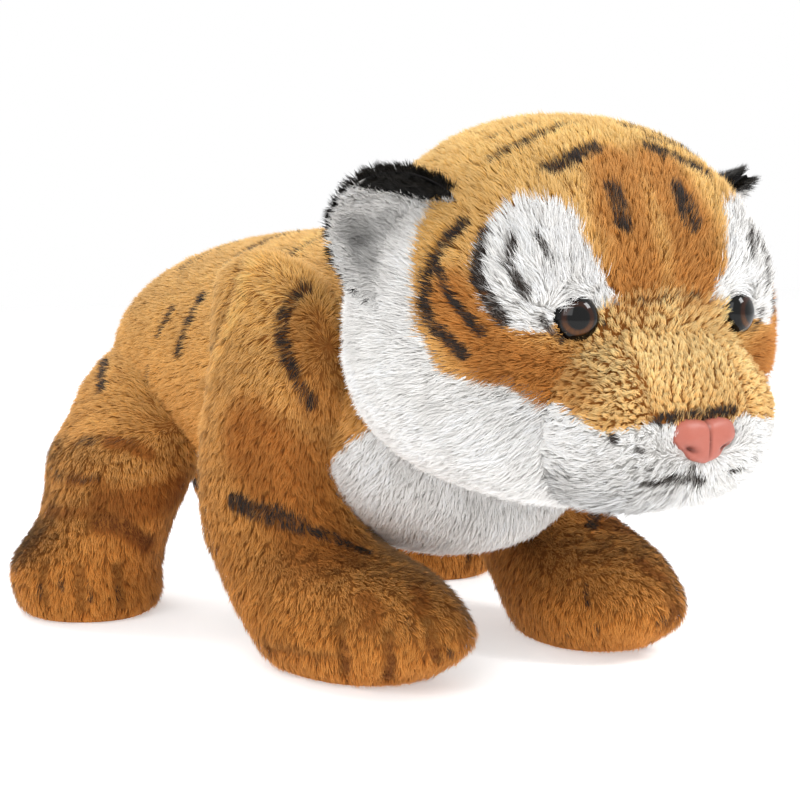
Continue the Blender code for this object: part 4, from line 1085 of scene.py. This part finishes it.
END = 2.0                 # beyond every form's length
TORSO_SIDE = [(-36, 90, 0.1, END), (0, 90, 0, 0.1)]
EYE_PATCH = [(15, 60, 0.625, 0.875)]
CHEEK = [(-15, 60, 0.875, END), (-15, 15, 0.5, 0.875), (15, 60, 0.5, 0.625), (30, 60, 0, 0.5)]
RUFF = [(-75, -15, 0, END), (-15, 30, 0, 0.5)]
MUZZLE_SIDE = [(0, 45, 0, END)]
LIP = [(-90, 0, 0, END)]
ALL_ROUND = [(0, 360, 0, END)]

# node: form, areas, body, slot
panels = {
    "head_crown": ("head", [(60, 120, 0, END)], "head", "tan_plush"),
    "head_throat": ("head", [(-105, -75, 0, END)], "head", "white_plush"),
    "muzzle_bridge": ("muzzle", [(45, 135, 0, END)], "head", "tan_plush"),
    "neck_band": ("neck", ALL_ROUND, "neck", "tan_plush"),
    "tail_base_skin": ("tail_base", ALL_ROUND, "tail_base", "tan_plush"),
    "tail_end_skin": ("tail_end", ALL_ROUND, "tail_end", "tan_plush"),
    "tail_tip": ("tail_tip", ALL_ROUND, "tail_end", "black_plush"),
}
belly = [(216, 324, 0, END), (180, 216, 0, 0.1), (324, 360, 0, 0.1)]
panels["torso_belly"] = ("torso", belly, "torso", "white_plush")
# what both sides have: node, form, areas, body, slot
PAIRED = (
    ("torso_side_", "torso", TORSO_SIDE, "torso", "tan_plush"),
    ("head_cheek_", "head", CHEEK, "head", "tan_plush"),
    ("head_ruff_", "head", RUFF, "head", "white_plush"),
    ("eye_patch_", "head", EYE_PATCH, "head", "white_plush"),
    ("muzzle_side_", "muzzle", MUZZLE_SIDE, "head", "tan_plush"),
    ("lip_", "muzzle", LIP, "head", "white_plush"),
)
for side, word in SIDES:
    for node, form_name, areas, body, slot_name in PAIRED:
        panels[node + word] = (form_name, on_side(areas, side), body, slot_name)
    for face, slot_name in (("front", "white_plush"), ("back", "black_plush")):
        ear = f"ear_{face}_{word}"
        panels[ear] = (ear, ALL_ROUND, "ear_" + word, slot_name)
    for end in ("front", "hind"):
        limb = f"{end}_leg_{word}"
        panels[limb + "_skin"] = (limb, ALL_ROUND, limb, "tan_plush")
print(len(panels), "panels")

# %% [markdown]
# ## Backing cloth
# Cloth and pile both stop a little way inside a neighbouring form: deep enough that a swinging leg
# or a turning head never shows an edge, and no deeper. Solidify gives the sheet its thickness.

# %% Backing cloth of each panel
LEGS = [name for name in forms if "leg" in name]
# form: its neighbours, and how deep inside each of them cells and pile are still kept
NEIGHBOURS = {
    "torso": {**dict.fromkeys(LEGS, -0.6), "neck": -0.12},
    "head": {"muzzle": -0.05, "neck": -0.12},
    "muzzle": {"head": -0.03},
    "neck": {"torso": -0.3, "head": -0.3},
    "tail_base": {"torso": -0.15},
    **{name: {"head": -0.05} for name in forms if "ear_" in name},
    **{name: {"torso": -0.25} for name in LEGS},
}
CLOTH_THICKNESS, EAR_CLOTH = 0.0016, 0.0006
CLOTH_MARGIN = 0.1        # cloth goes on this much deeper than pile


def shows(form_name, p, margin=0.0):
    """True where a point isn't deep inside a neighbour. Margin lets it lie deeper still."""
    kept = np.ones(p.shape[:-1], bool)
    for other, least in NEIGHBOURS.get(form_name, {}).items():
        kept &= forms[other].depth(p) > least - margin
    return kept


def sheet_mesh(name, form, used):
    """The used cells as quads, with only the points that they need, facing out of the form."""
    rows, columns = form.points.shape[:2]
    at = np.arange(rows * columns).reshape(rows, columns)
    at[:, -1] = at[:, 0]
    quads = np.stack(four_corners(at), -1)[used]
    p, n = form.points.reshape(-1, 3), form.normals.reshape(-1, 3)
    a, b, c, d = (p[quads[:, k]] for k in range(4))
    if (np.cross(c - a, d - b) * n[quads[:, 0]]).sum() < 0:
        quads = quads[:, ::-1]
    needed, index = np.unique(quads, return_inverse=True)
    mesh = bpy.data.meshes.new(name)
    mesh.from_pydata(p[needed].tolist(), [], index.reshape(-1, 4).tolist())
    mesh.shade_smooth()
    return mesh


def dress(ob, look, body, node=None):
    """Gives a piece its look and its body, and where a solid is named, hides that solid."""
    ob.data.materials.append(look)
    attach(ob, body)
    if node:
        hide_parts(node)
    return ob


def make_sheet(node, form, used, thickness, look, body):
    ob = new_object("cloth_" + node, sheet_mesh("cloth_" + node, form, used))
    modify(ob, "thickness", "SOLIDIFY", thickness=thickness, offset=-1.0)
    return dress(ob, look, body, node)


def make_cloth(node):
    form_name, areas, body, slot_name = panels[node]
    form = forms[form_name]
    middle = (form.points[:-1, :-1] + form.points[1:, 1:]) / 2
    used = cells(form_name, *areas) & shows(form_name, middle, CLOTH_MARGIN)
    thickness = EAR_CLOTH if node.startswith("ear") else CLOTH_THICKNESS
    return make_sheet(node, form, used, thickness, CLOTH_LOOKS[slot_name], body)


cloths = {node: make_cloth(node) for node in panels}
print(len(cloths), "sheets of backing cloth")

# %% [markdown]
# ## Combing
# The direction of the pile gives the toy much of its look. On the body it runs back and down, on a
# leg down to the toes, on the face away from the nose, and on the muzzle's sides straight out.

# %% The way of the pile
eye_places = []
for word in ("left", "right"):
    low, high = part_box(f"eye_{word}_lens")
    eye_places.append(np.array((low + high) / 2))
# places on the middle line or on the toy's left
NOSE_MIDDLE = np.array([0, -0.224, 0.1165])
EYE_INNER = np.array([0.030, -0.200, 0.152])
EAR_ROOT = np.array([0.066, -0.135, 0.178])
EYE_REACH, EYE_PULL, LASH_Z = 0.014, 2.4, 0.002     # pile near an eye, and above its middle
TAIL_PLACES = 60


def own_side(p, place):
    """The place, mirrored for points on the toy's right."""
    return place * columns_of(np.sign(p[:, 0]), 1, 1)


def along_surface(way, normal):
    return unit(way - normal * (way * normal).sum(axis=1, keepdims=True))


def comb_body(p, n):
    """Back and down, and steeper down on the chest."""
    chest = 1 - soft_step(p[:, 1], -0.10, -0.03)
    return columns_of(0.25 * n[:, 0], 1, -0.5 * np.abs(n[:, 0]) - 1.6 * chest)


def comb_leg(p, n):
    """Down the leg. Where it faces up, back over the shoulder and forwards over the toes."""
    up = soft_step(n[:, 2], 0.1, 0.7)
    high = soft_step(p[:, 2], 0.07, 0.11)
    return columns_of(0.15 * n[:, 0], up * (2 * high - 1) + 0.5 * high - 0.1, -1.0 + 0.4 * up)


def comb_head(p, n):
    """Away from the nose, with the cheeks' pile drawn back and down."""
    low = 1 - soft_step(p[:, 2], 0.12, 0.19)
    return unit(p - NOSE_MIDDLE) + columns_of(0, 0.4, -0.7 * low)


def comb_patch(p, n):
    """Out from the inner corner of the eye, and up; close above the eye, down over its edge."""
    out = unit(p - own_side(p, EYE_INNER))
    to_eye = np.where(p[:, :1] > 0, eye_places[0], eye_places[1]) - p
    away = np.linalg.norm(to_eye, axis=1, keepdims=True)
    near = EYE_PULL * np.exp(-((away / EYE_REACH) ** 4))
    return out + np.array([0, 0.2, 0.5]) + near * unit(to_eye) * (to_eye[:, 2:] < LASH_Z)


def comb_muzzle(p, n):
    """Up and back on the bridge, outwards on the sides, outwards and down on the lips."""
    side = soft_step(np.abs(p[:, 0]), 0.020, 0.028) * np.sign(p[:, 0])
    top = 1 - np.abs(side)
    low = 1 - soft_step(p[:, 2], 0.098, 0.118)
    return columns_of(1.2 * side + 120 * low * p[:, 0], 0.5, top * (1 - low) - 1.2 * low - 0.15)


def comb_neck(p, n):
    return columns_of(0.3 * n[:, 0], 1, -0.5)


def comb_tail(p, n):
    """Along the middle line, from the place before the nearest one to the place after it."""
    middle = tail_line(np.linspace(0, 1, TAIL_PLACES))[0]
    near = np.argmin(((p[:, None] - middle[None]) ** 2).sum(axis=2), axis=1)
    near = np.clip(near, 1, TAIL_PLACES - 2)
    return middle[near + 1] - middle[near - 1]


def comb_ear(p, n):
    """From the ear's root, low and inwards, to its rim."""
    return p - own_side(p, EAR_ROOT)


def of_word(node, table):
    """The entry of the first word that is in the node's name."""
    return next(entry for word, entry in table.items() if word in node)


COMBS = {"patch": comb_patch, "leg": comb_leg, "tail": comb_tail, "ear_": comb_ear,
         "torso": comb_body, "head": comb_head, "muzzle": comb_muzzle, "lip": comb_muzzle,
         "neck": comb_neck}
print(len(COMBS), "combs")

# %% [markdown]
# ## Colours of the pile
# A blade is darkest at its root, where the dye is deepest and light hardly reaches, and palest at its
# tip. Locks differ a little in shade, and so do larger areas, as on the real toy.

# %% Colours from root to tip
# linear colours of root, bend and tip
TAN_LOW_SHADED = np.array([(0.22, 0.062, 0.010), (0.54, 0.175, 0.025), (0.78, 0.34, 0.080)])
TAN_HIGH_LIT = np.array([(0.40, 0.170, 0.034), (0.80, 0.44, 0.110), (0.94, 0.66, 0.29)])
SNOUT_LOW_SHADED = np.array([(0.38, 0.13, 0.026), (0.70, 0.32, 0.082), (0.90, 0.54, 0.19)])
SNOUT_HIGH_LIT = np.array([(0.50, 0.21, 0.055), (0.86, 0.50, 0.17), (0.96, 0.74, 0.36)])
WHITE = np.array([(0.84, 0.81, 0.77), (0.91, 0.885, 0.85), (0.95, 0.94, 0.92)])
BLACK = np.array([(0.006, 0.006, 0.006), (0.012, 0.012, 0.012), (0.024, 0.023, 0.022)])
STRIPE_AND_CREASE_SHADE = np.array([(0.030, 0.014, 0.007), (0.022, 0.016, 0.013), (0.040, 0.030, 0.025)])
# the tan is paler and yellower higher up and darker and redder below: partly its own tone, partly
# painted light from above and painted shade below
TAN_LIGHT_HEIGHTS = (0.03, 0.28)     # redder below, yellower above
SNOUT_LIGHT_HEIGHTS = (0.105, 0.165)
SHADE_AND_TONE_LOSS = np.array([0.30, 0.36, 0.40])     # taken from red, green and blue
LOCK_SHADE, AREA_SHADE, BLADE_SHADE, PALEST = 0.16, 0.08, (0.88, 1.12), 0.96
# size in metres and seed
STRIPE_RIPPLE, AREA_RIPPLE = (0.011, 5), (0.045, 3)
STRIPE_UNEVEN, STRIPE_RAGGED, STRIPE_TRACE, STRIPE_SHARE = 0.30, 0.8, 0.02, (0.30, 0.80)
OUTLINE_BLUR, SOFT_BLUR = 1.5, 2.0            # pixels
# painted light: pile that faces up counts as higher up, so it is painted paler
UPWARD_LIGHT_TILT = 0.03        # a face that looks up counts as this much higher


def dye_light_and_shade(node, p, normal, rng):
    """Colours of root, bend and tip at each point, before any mark; painted light and shade are already
    in the tan.
    """
    form_name, _, _, slot_name = panels[node]
    snout = np.full(len(p), form_name == "muzzle")
    if form_name == "head":
        snout |= (p[:, 1] < FACE_REAR) & inside_outline(p, SNOUT_OUTLINE, SOFT_BLUR, rng)
    low = np.where(snout[:, None, None], SNOUT_LOW_SHADED, TAN_LOW_SHADED)
    high = np.where(snout[:, None, None], SNOUT_HIGH_LIT, TAN_HIGH_LIT)
    lowest, highest = np.where(snout[:, None], SNOUT_LIGHT_HEIGHTS, TAN_LIGHT_HEIGHTS).T
    # painted light higher up and where the pile faces up, painted shade lower down
    height = p[:, 2] + UPWARD_LIGHT_TILT * normal[:, 2]
    # painted shade along the shade lines: a darker, redder tan, with less of the paler upper tan
    darkening = near_lines(p, shade_and_tone_lines, np.maximum)
    share = np.clip((height - lowest) / (highest - lowest), 0, 1) * np.clip(1 - darkening, 0, 1)
    share = share[:, None, None]
    tan = (low * (1 - share) + high * share) * (1 - SHADE_AND_TONE_LOSS * darkening[:, None])[:, None]
    white = np.full(len(p), slot_name == "white_plush")
    black = np.full(len(p), slot_name == "black_plush")
    if form_name in ("head", "muzzle"):
        front = p[:, 1] < (CHEEK_REAR if "cheek" in node else FACE_REAR)
        printed = inside_outline(p, PATCH_OUTLINE, OUTLINE_BLUR, rng)
        printed |= ~inside_outline(p, MASK_OUTLINE, OUTLINE_BLUR, rng)
        white = np.where(front, printed, white)
    if form_name == "torso":
        white |= (p[:, 1] < 0) & inside_outline(p, CHEST_OUTLINE, SOFT_BLUR, rng)
    if node.startswith("ear_front"):
        black |= inside_outline(p, EAR_DARK_OUTLINE, OUTLINE_BLUR, rng)
    colour = np.where(white[:, None, None], WHITE, tan)
    return np.where(black[:, None, None], BLACK, colour), white, black, snout & ~white


def paint(colour, painted_at, plain, lock_shade, rng):
    """Colour mixed with the marks' colour by darkness, then times the random shades of lock, area and
    blade, and the painted light and shade of the folds.
    """
    dark = near_lines(painted_at, stripes_and_crease_shade, np.maximum) * ~plain
    uneven = dark * (1 + STRIPE_UNEVEN * ripple(painted_at, *STRIPE_RIPPLE))
    ragged = (rng.random(len(dark)) - 0.5) * STRIPE_RAGGED * (dark > STRIPE_TRACE)
    share = soft_step(np.clip(uneven + ragged, 0, 1), *STRIPE_SHARE)[:, None, None]
    colour = colour * (1 - share) + STRIPE_AND_CREASE_SHADE * share
    level = 1 + LOCK_SHADE * (lock_shade - 0.5) + AREA_SHADE * ripple(painted_at, *AREA_RIPPLE)
    # painted light on the ridges of folds, painted shade in their furrows and in the ear's hollow
    level = level * (1 + near_lines(painted_at, fold_light_and_shade, np.add))
    level = level * rng.uniform(*BLADE_SHADE, len(dark))
    return np.clip(colour * level[:, None, None], 0, PALEST)[:, [0, 1, 1, 2]]


def dye_cloth(node, seed):
    """Each point of a sheet takes the plain dye of the pile on it: white, black or tan."""
    mesh = cloths[node].data
    p = np.empty((len(mesh.vertices), 3), np.float32)
    normal = np.empty_like(p)
    mesh.vertices.foreach_get("co", p.ravel())
    mesh.vertex_normals.foreach_get("vector", normal.ravel())
    _, white, black, _ = dye_light_and_shade(node, p + normal * MARK_HEIGHT, normal, np.random.default_rng(seed))
    colour = np.where(white[:, None], WHITE_CLOTH, TAN_CLOTH)
    add_point_colours(mesh, np.where(black[:, None], BLACK_CLOTH, colour))


for seed, node in enumerate(sorted(panels), start=61):
    dye_cloth(node, seed)
print("colours ready")

# %% [markdown]
# ## Growing the pile
# A panel's pile follows from the first of these words that is in its name. Pull is the share of the
# way that tips go towards their lock's middle, and mess is how much locks differ. The snout's pile is
# short and curly, the eye patches and the ruff are long and loose, and the ears are dense.

# %% How each panel's pile is set
# density in blades per square centimetre, length, width and lock size in mm, rise in degrees
Pile = namedtuple("Pile", "density length rise width lock_size pull mess")
RUFF_PILE = Pile(276, 9.0, 44, 0.34, 7.0, 0.10, 0.25)
PILES = {
    "muzzle": Pile(430, 4.4, 50, 0.36, 2.3, 0.85, 1.1),
    "lip": Pile(365, 5.0, 50, 0.32, 3.5, 0.30, 0.6),
    "ruff": RUFF_PILE,
    "throat": RUFF_PILE,
    "patch": Pile(365, 9.0, 52, 0.30, 5.0, 0.22, 0.55),
    "belly": Pile(204, 7.0, 44, 0.38, 6.0, 0.10, 0.25),
    "ear_front": Pile(410, 7.5, 40, 0.34, 4.5, 0.20, 0.6),
    "ear_back": Pile(410, 7.0, 50, 0.36, 4.0, 0.30, 0.7),
    "tail": Pile(222, 6.0, 55, 0.42, 4.5, 0.30, 0.6),
    "leg": Pile(216, 6.4, 54, 0.36, 4.8, 0.30, 0.50),
    "head": Pile(290, 6.0, 58, 0.32, 3.6, 0.28, 0.55),
    "": Pile(224, 6.2, 56, 0.36, 4.8, 0.24, 0.40),
}
PULL_OF_WHITE = 0.3       # at most, so that white pile stays even
print(len(PILES), "kinds of pile")

# %% Bare places under the eyes and the nose
EYE_BARE_RADIUS = 0.0082
NOSE_DROP = 0.0012        # the moulding sits this much lower than the plain solid
NOSE_BARE = (0.0146, 0.0072)
SNOUT_FRONT = -0.2
nose_low, nose_high = (np.array(corner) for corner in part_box("nose"))
nose_z = (nose_low[2] + nose_high[2]) / 2 - NOSE_DROP


def is_bare(p):
    """Inside a ball round each eye, or inside the ellipse of the nose seen from the front."""
    bare = np.zeros(len(p), bool)
    for place in eye_places:
        bare |= np.linalg.norm(p - place, axis=1) < EYE_BARE_RADIUS
    x = p[:, 0] / NOSE_BARE[0]
    z = (p[:, 2] - nose_z) / NOSE_BARE[1]
    return bare | ((x * x + z * z < 1) & (p[:, 1] < SNOUT_FRONT))


# %% Grow all panels
SEAM_X, SEAM_HALF_WIDTH, SEAM_LOW = 0.024, 0.0016, 0.122
# the seam beside the snout's bridge has shorter pile, and painted shade makes it darker
SEAM_SHORTER, SEAM_SHADE = 0.5, 0.4
LOWEST_ROOT = 0.0015
FOLD_RELIEF = 1.3         # how much the length of a leg's pile follows the shade of a fold
CHIN_HEIGHTS = (0.090, 0.106)
CHIN_LENGTH = 0.85        # how much longer the pile is under the mouth
CHIN_LIGHT = 1.0          # its tips hang outwards and catch light from the sides
CHIN_MIDDLE = (0.0, -0.175, 0.0)


def furrow(p):
    """1 in the seam on either side of the snout's bridge, 0 away from it."""
    away = (np.abs(p[:, 0]) - SEAM_X) / SEAM_HALF_WIDTH
    return np.exp(-(away**2)) * (p[:, 2] > SEAM_LOW)


def grow(node, seed):
    """Roots at random spots, then colours, lengths and pull at each, then the blades themselves."""
    form_name, areas, body, slot_name = panels[node]
    form, kind = forms[form_name], of_word(node, PILES)
    rng = np.random.default_rng(seed)
    spots = spots_on(form, cells(form_name, *areas), kind.density * 1e4, rng)
    root, normal = read_at(form.points, spots), unit(read_at(form.normals, spots))
    kept = shows(form_name, root) & ~is_bare(root) & (root[:, 2] > LOWEST_ROOT)
    root, normal = root[kept], normal[kept]
    way = along_surface(of_word(node, COMBS)(root, normal), normal)
    top = root + normal * MARK_HEIGHT
    colour, white, black, snout = dye_light_and_shade(node, top, normal, rng)
    size = np.full(len(root), kind.length / 1000)
    level = np.ones(len(root))
    if form_name == "muzzle":
        size *= 1 - SEAM_SHORTER * furrow(root)
        # painted shade in the seam
        level -= SEAM_SHADE * furrow(root)
    low = (1 - soft_step(root[:, 2], *CHIN_HEIGHTS)) * node.startswith("lip")
    size *= 1 + CHIN_LENGTH * low
    if "leg" in node:
        size *= 1 + FOLD_RELIEF * near_lines(top, fold_light_and_shade, np.add)
    pull = np.where(snout, PILES["muzzle"].pull, kind.pull)
    pull = np.where(white, min(PULL_OF_WHITE, kind.pull), pull)[:, None]
    corners, lit, lock_shade = blades(root, normal, way, size, kind, pull, rng, seed)
    outward = unit((root - CHIN_MIDDLE) * (1, 1, 0))
    lit = unit(lit + CHIN_LIGHT * low[:, None] * outward)
    bend = corners[:, 1:3].mean(axis=1)
    height = ((bend - root) * normal).sum(axis=1, keepdims=True)
    painted_at = bend + normal * (MARK_HEIGHT - height)
    colours = paint(colour * level[:, None, None], painted_at, black, lock_shade, rng)
    ob = blade_mesh("pile_" + node, corners, lit, colours)
    return dress(ob, PILE_LOOKS[slot_name], body)


piles = {node: grow(node, seed) for seed, node in enumerate(sorted(panels), start=11)}
triangles = {node: len(ob.data.polygons) for node, ob in piles.items()}
print(sum(triangles.values()), "triangles of pile, at most", max(triangles.values()), "in one")

# %% [markdown]
# ## Soles
# The underside of each paw is a flat oval of the same cloth, which carries the toy.

# %% Soles of the paws
SOLE_THICKNESS = 0.0020


def make_sole(limb):
    """The leg's lowest ring at floor level, shrunk to its middle. Solidify lifts its upper face."""
    ring = forms[limb].points[0] * (1, 1, 0)
    rings = with_end(ring[None] + np.zeros((2, 1, 1)), last=True, steps=5)[1:]
    rings[..., 2] = 0.0
    form = Form(rings)
    form.normals = np.zeros_like(rings) + (0, 0, -1.0)
    used = np.ones((rings.shape[0] - 1, rings.shape[1] - 1), bool)
    return make_sheet(limb + "_sole", form, used, SOLE_THICKNESS, SOLE_LOOK, limb)


soles = [make_sole(limb) for limb in LEGS]
print(len(soles), "soles")

# %% [markdown]
# ## Eyes and nose
# The eyes are glossy domes with a black pupil, a dim amber ring whose lower part is painted brighter
# as a glint of light, and a dark edge. The nose is a soft moulding with a groove down its middle and a
# nostril on either side, which are darkened with painted shade. Both are closed rings of points,
# worked out by formula, with their colour painted on the points.

# %% Closed rings with painted points
def closed_piece(name, start, rings, end, colours, look, body, node):
    """A fan from the start, bands between the rings and a fan to the end, all facing outwards."""
    count, columns = rings.shape[:2]
    points = np.concatenate([[start], rings.reshape(-1, 3), [end]])
    at = 1 + np.arange(count * columns).reshape(count, columns)
    after = np.roll(at, -1, axis=1)
    bands = np.stack([at[:-1], after[:-1], after[1:], at[1:]], -1).reshape(-1, 4)
    first_fan = columns_of(0, after[0], at[0])
    fans = np.concatenate([first_fan, columns_of(len(points) - 1, at[-1], after[-1])])
    a, b, c = (points[bands[:, k]] - points.mean(axis=0) for k in range(3))
    if (np.cross(a, b) * c).sum() < 0:
        bands, fans = bands[:, ::-1], fans[:, ::-1]
    mesh = bpy.data.meshes.new(name)
    mesh.from_pydata(points.tolist(), [], bands.tolist() + fans.tolist())
    mesh.shade_smooth()
    add_point_colours(mesh, np.concatenate([[colours[0, 0]], colours.reshape(-1, 3), [colours[-1, 0]]]))
    return dress(new_object(name, mesh), look, body, node)


# %% Eyes
EYE_RADIUS, EYE_HEIGHT = 0.0094, 0.0066
EYE_RINGS, EYE_COLUMNS = 26, 48
IRIS_EDGES = (0.46, 0.54), (0.64, 0.76)       # shares of the eye's radius
# painted light: the iris is painted brightest below, as a glint
PAINTED_GLINT_EDGES = (-0.05, 0.45)                   # the iris is brightest below
INK = np.array((0.002, 0.002, 0.002))
# the second colour is the painted glint's, the first the iris's own
IRIS_DARK, IRIS_GLINT = np.array((0.024, 0.007, 0.003)), np.array((0.085, 0.030, 0.007))
EYE_NOISE = {"Slow Size": 90.0, "Slow": 0.05, "Fine Size": 1800.0, "Fine": 0.0}
EYE_LOOK = coloured_look("eye_gloss", {"Roughness": 0.04, "Specular IOR Level": 0.25}, EYE_NOISE)[0]


def node_points(node):
    points = frame["nodes"][node].data.vertices
    flat = np.empty(len(points) * 3, np.float32)
    points.foreach_get("co", flat)
    return flat.reshape(-1, 3).astype(float)


def make_eye(word):
    """Ring = base + radius * sin(a) around, raised by height * cos(a). Its axis meets the washer."""
    node = f"eye_{word}_lens"
    lens, washer = node_points(node), node_points(f"eye_{word}_washer").mean(axis=0)
    out = unit(lens.mean(axis=0) - washer)
    across = unit(np.cross((0, 0, 1), out))
    up = np.cross(out, across)
    base = washer + out * ((lens @ out).min() - washer @ out)
    a = np.linspace(0.04, math.pi / 2, EYE_RINGS)[:, None]
    turn = np.linspace(0, 2 * math.pi, EYE_COLUMNS + 1)[:-1]
    r, height = np.sin(a), np.cos(a)
    x, y = r * np.cos(turn), r * np.sin(turn)
    rings = (base + EYE_RADIUS * (x[..., None] * across + y[..., None] * up)
             + EYE_HEIGHT * height[..., None] * out)
    iris = soft_step(r, *IRIS_EDGES[0]) * (1 - soft_step(r, *IRIS_EDGES[1]))
    streaks = 1 + 0.25 * np.sin(23 * turn) * np.sin(7 * turn + 9 * r)
    # painted light: the ring is painted brighter below, as a glint
    low = soft_step(-y, *PAINTED_GLINT_EDGES) * streaks
    amber = IRIS_DARK + (IRIS_GLINT - IRIS_DARK) * low[..., None]
    colours = INK + (amber - INK) * iris[..., None]
    return closed_piece("dome_eye_" + word, base + EYE_HEIGHT * out, rings, base, colours,
                        EYE_LOOK, "head", node)


eyes = [make_eye("left"), make_eye("right")]
print(len(eyes), "eyes")

# %% Nose
NOSE_WIDTH, NOSE_HEIGHT, NOSE_PROUD = 0.032, 0.0172, 0.0054
# the second colour is painted shade for the groove and the nostrils
NOSE_COLOUR, NOSE_RECESS_SHADE = np.array((0.43, 0.125, 0.088)), np.array((0.11, 0.024, 0.017))
NOSE_FINISH = {"Roughness": 0.45, "Specular IOR Level": 0.4}
NOSE_NOISE = {"Slow Size": 90.0, "Slow": 0.10, "Fine Size": 1800.0, "Fine": 0.12}
NOSE_BUMP = (0.0002, 0.25)
# right half from the top middle down, in half widths and heights
NOSE_OUTLINE = [(0.00, 0.47), (0.46, 0.53), (0.86, 0.43), (1.00, 0.12), (0.84, -0.10), (0.62, -0.22),
                (0.40, -0.42), (0.00, -0.53)]
# places to the side and up from the middle, then half sizes
NOSTRIL, NOSTRIL_SIZE = (0.0086, -0.0026), (0.0026, 0.0011)
NOSTRIL_SLANT, NOSTRIL_DEPTH = 0.35, 0.0026
WING, WING_SIZE, WING_HEIGHT = (0.0098, 0.0016), (0.0035, 0.0028), 0.0007
# the last number is how much painted shade darkens the groove
GROOVE_WIDTH, GROOVE_ENDS, GROOVE_DEPTH, GROOVE_SHADE = 0.0006, (-0.008, -0.004), 0.0009, 0.55
STEM_RADIUS, STEM_END = 0.0022, 0.0125
NOSE_BASE, NOSE_EDGE = 0.0060, 0.0022         # depths of the edge and of the back


def hump(x, z, size):
    """1 in the middle and soft to all sides: e ^ -((x / width)^2 + (z / height)^2)."""
    return np.exp(-((x / size[0]) ** 2) - (z / size[1]) ** 2)


def nose_height(x, z, t):
    """Out from the muzzle: a pillow, less the groove and the nostrils, more the two wings."""
    pillow = NOSE_PROUD * (1 - t**3.6) ** 0.5
    groove = np.exp(-((x / GROOVE_WIDTH) ** 2)) * soft_step(z, *GROOVE_ENDS)
    side = np.abs(x) - NOSTRIL[0]
    nostril = hump(side, (z - NOSTRIL[1]) - NOSTRIL_SLANT * side, NOSTRIL_SIZE)
    wing = hump(np.abs(x) - WING[0], z - WING[1], WING_SIZE)
    # how much painted shade darkens the groove and the nostrils, used for the colour only
    recess_shade = np.clip(groove * GROOVE_SHADE + nostril, 0, 1)
    height = pillow - GROOVE_DEPTH * groove - NOSTRIL_DEPTH * nostril * (1 - t**8)
    return height + WING_HEIGHT * wing * (1 - t**4), recess_shade


def make_nose():
    """Rings of the outline from its middle outwards, then its edge, and a stem behind it."""
    right = smooth_rows(NOSE_OUTLINE, np.linspace(0, len(NOSE_OUTLINE) - 1, 33))
    outline = np.concatenate([right, right[-2:0:-1] * (-1, 1)]) * (NOSE_WIDTH / 2, NOSE_HEIGHT)
    base_y = nose_low[1] + NOSE_BASE
    t = np.linspace(0.05, 1, 30)[:, None]
    x, z = outline[None, :, 0] * t, outline[None, :, 1] * t
    height, recess_shade = nose_height(x, z, t)
    front = columns_of(x, base_y - height, z + nose_z)
    turn = np.linspace(math.pi / 2, -1.5 * math.pi, len(outline) + 1)[:-1]
    stem = columns_of(np.cos(turn) * STEM_RADIUS, 0, np.sin(turn) * STEM_RADIUS)
    middle, end = np.array((0, base_y, nose_z)), (0, STEM_END, 0)
    edge = (0, NOSE_EDGE, 0)
    behind = np.stack([front[-1] + edge, middle + stem + edge, middle + stem + end])
    rings = np.concatenate([front, behind])
    # painted shade darkens the groove and the nostrils
    darkening = np.concatenate([recess_shade, np.zeros((3, len(outline)))])[..., None]
    colours = NOSE_COLOUR + (NOSE_RECESS_SHADE - NOSE_COLOUR) * darkening
    look, tree, shader, grain = coloured_look("nose_satin", NOSE_FINISH, NOSE_NOISE)
    add_bump(tree, shader, grain, *NOSE_BUMP)
    return closed_piece("moulded_nose", front[0].mean(axis=0), rings, middle + end, colours,
                        look, "head", "nose")


nose = make_nose()
print(nose.name, len(nose.data.polygons), "faces")

# %% [markdown]
# ## Filling
# The loose filling is soft, so its faceted solid isn't shown either. A copy of each one is merged,
# remeshed to small even cubes of surface and smoothed, which rounds its corners and keeps it inside
# its cloth.

# %% Filling of each stuffed form
VOXEL, TAIL_VOXEL = 0.004, 0.002
WELD_DISTANCE = 1e-5
SMOOTH_PASSES = 12
FILLING_GAP = 0.0015


def make_filling(node, body):
    source = frame["nodes"][node]
    ob = new_object(node.replace("stuffing", "filling"), source.data.copy())
    modify(ob, "weld", "WELD", merge_threshold=WELD_DISTANCE)
    voxel = TAIL_VOXEL if "tail" in node else VOXEL
    modify(ob, "even", "REMESH", mode="VOXEL", voxel_size=voxel)
    modify(ob, "rounded", "SMOOTH", factor=0.5, iterations=SMOOTH_PASSES)
    modify(ob, "inwards", "DISPLACE", mid_level=0.0, strength=-FILLING_GAP)
    seen = ob.evaluated_get(bpy.context.evaluated_depsgraph_get())
    mesh = bpy.data.meshes.new_from_object(seen)
    ob.modifiers.clear()
    ob.data = mesh
    mesh.materials.clear()
    mesh.shade_smooth()
    dress(ob, FILLING_LOOK, body, node)
    return ob


fillings = []
for body, nodes in frame["record"]["behaviour"]["bodies"].items():
    fillings += [make_filling(node, body) for node in nodes if node.endswith("stuffing")]
print(len(fillings), "fillings")
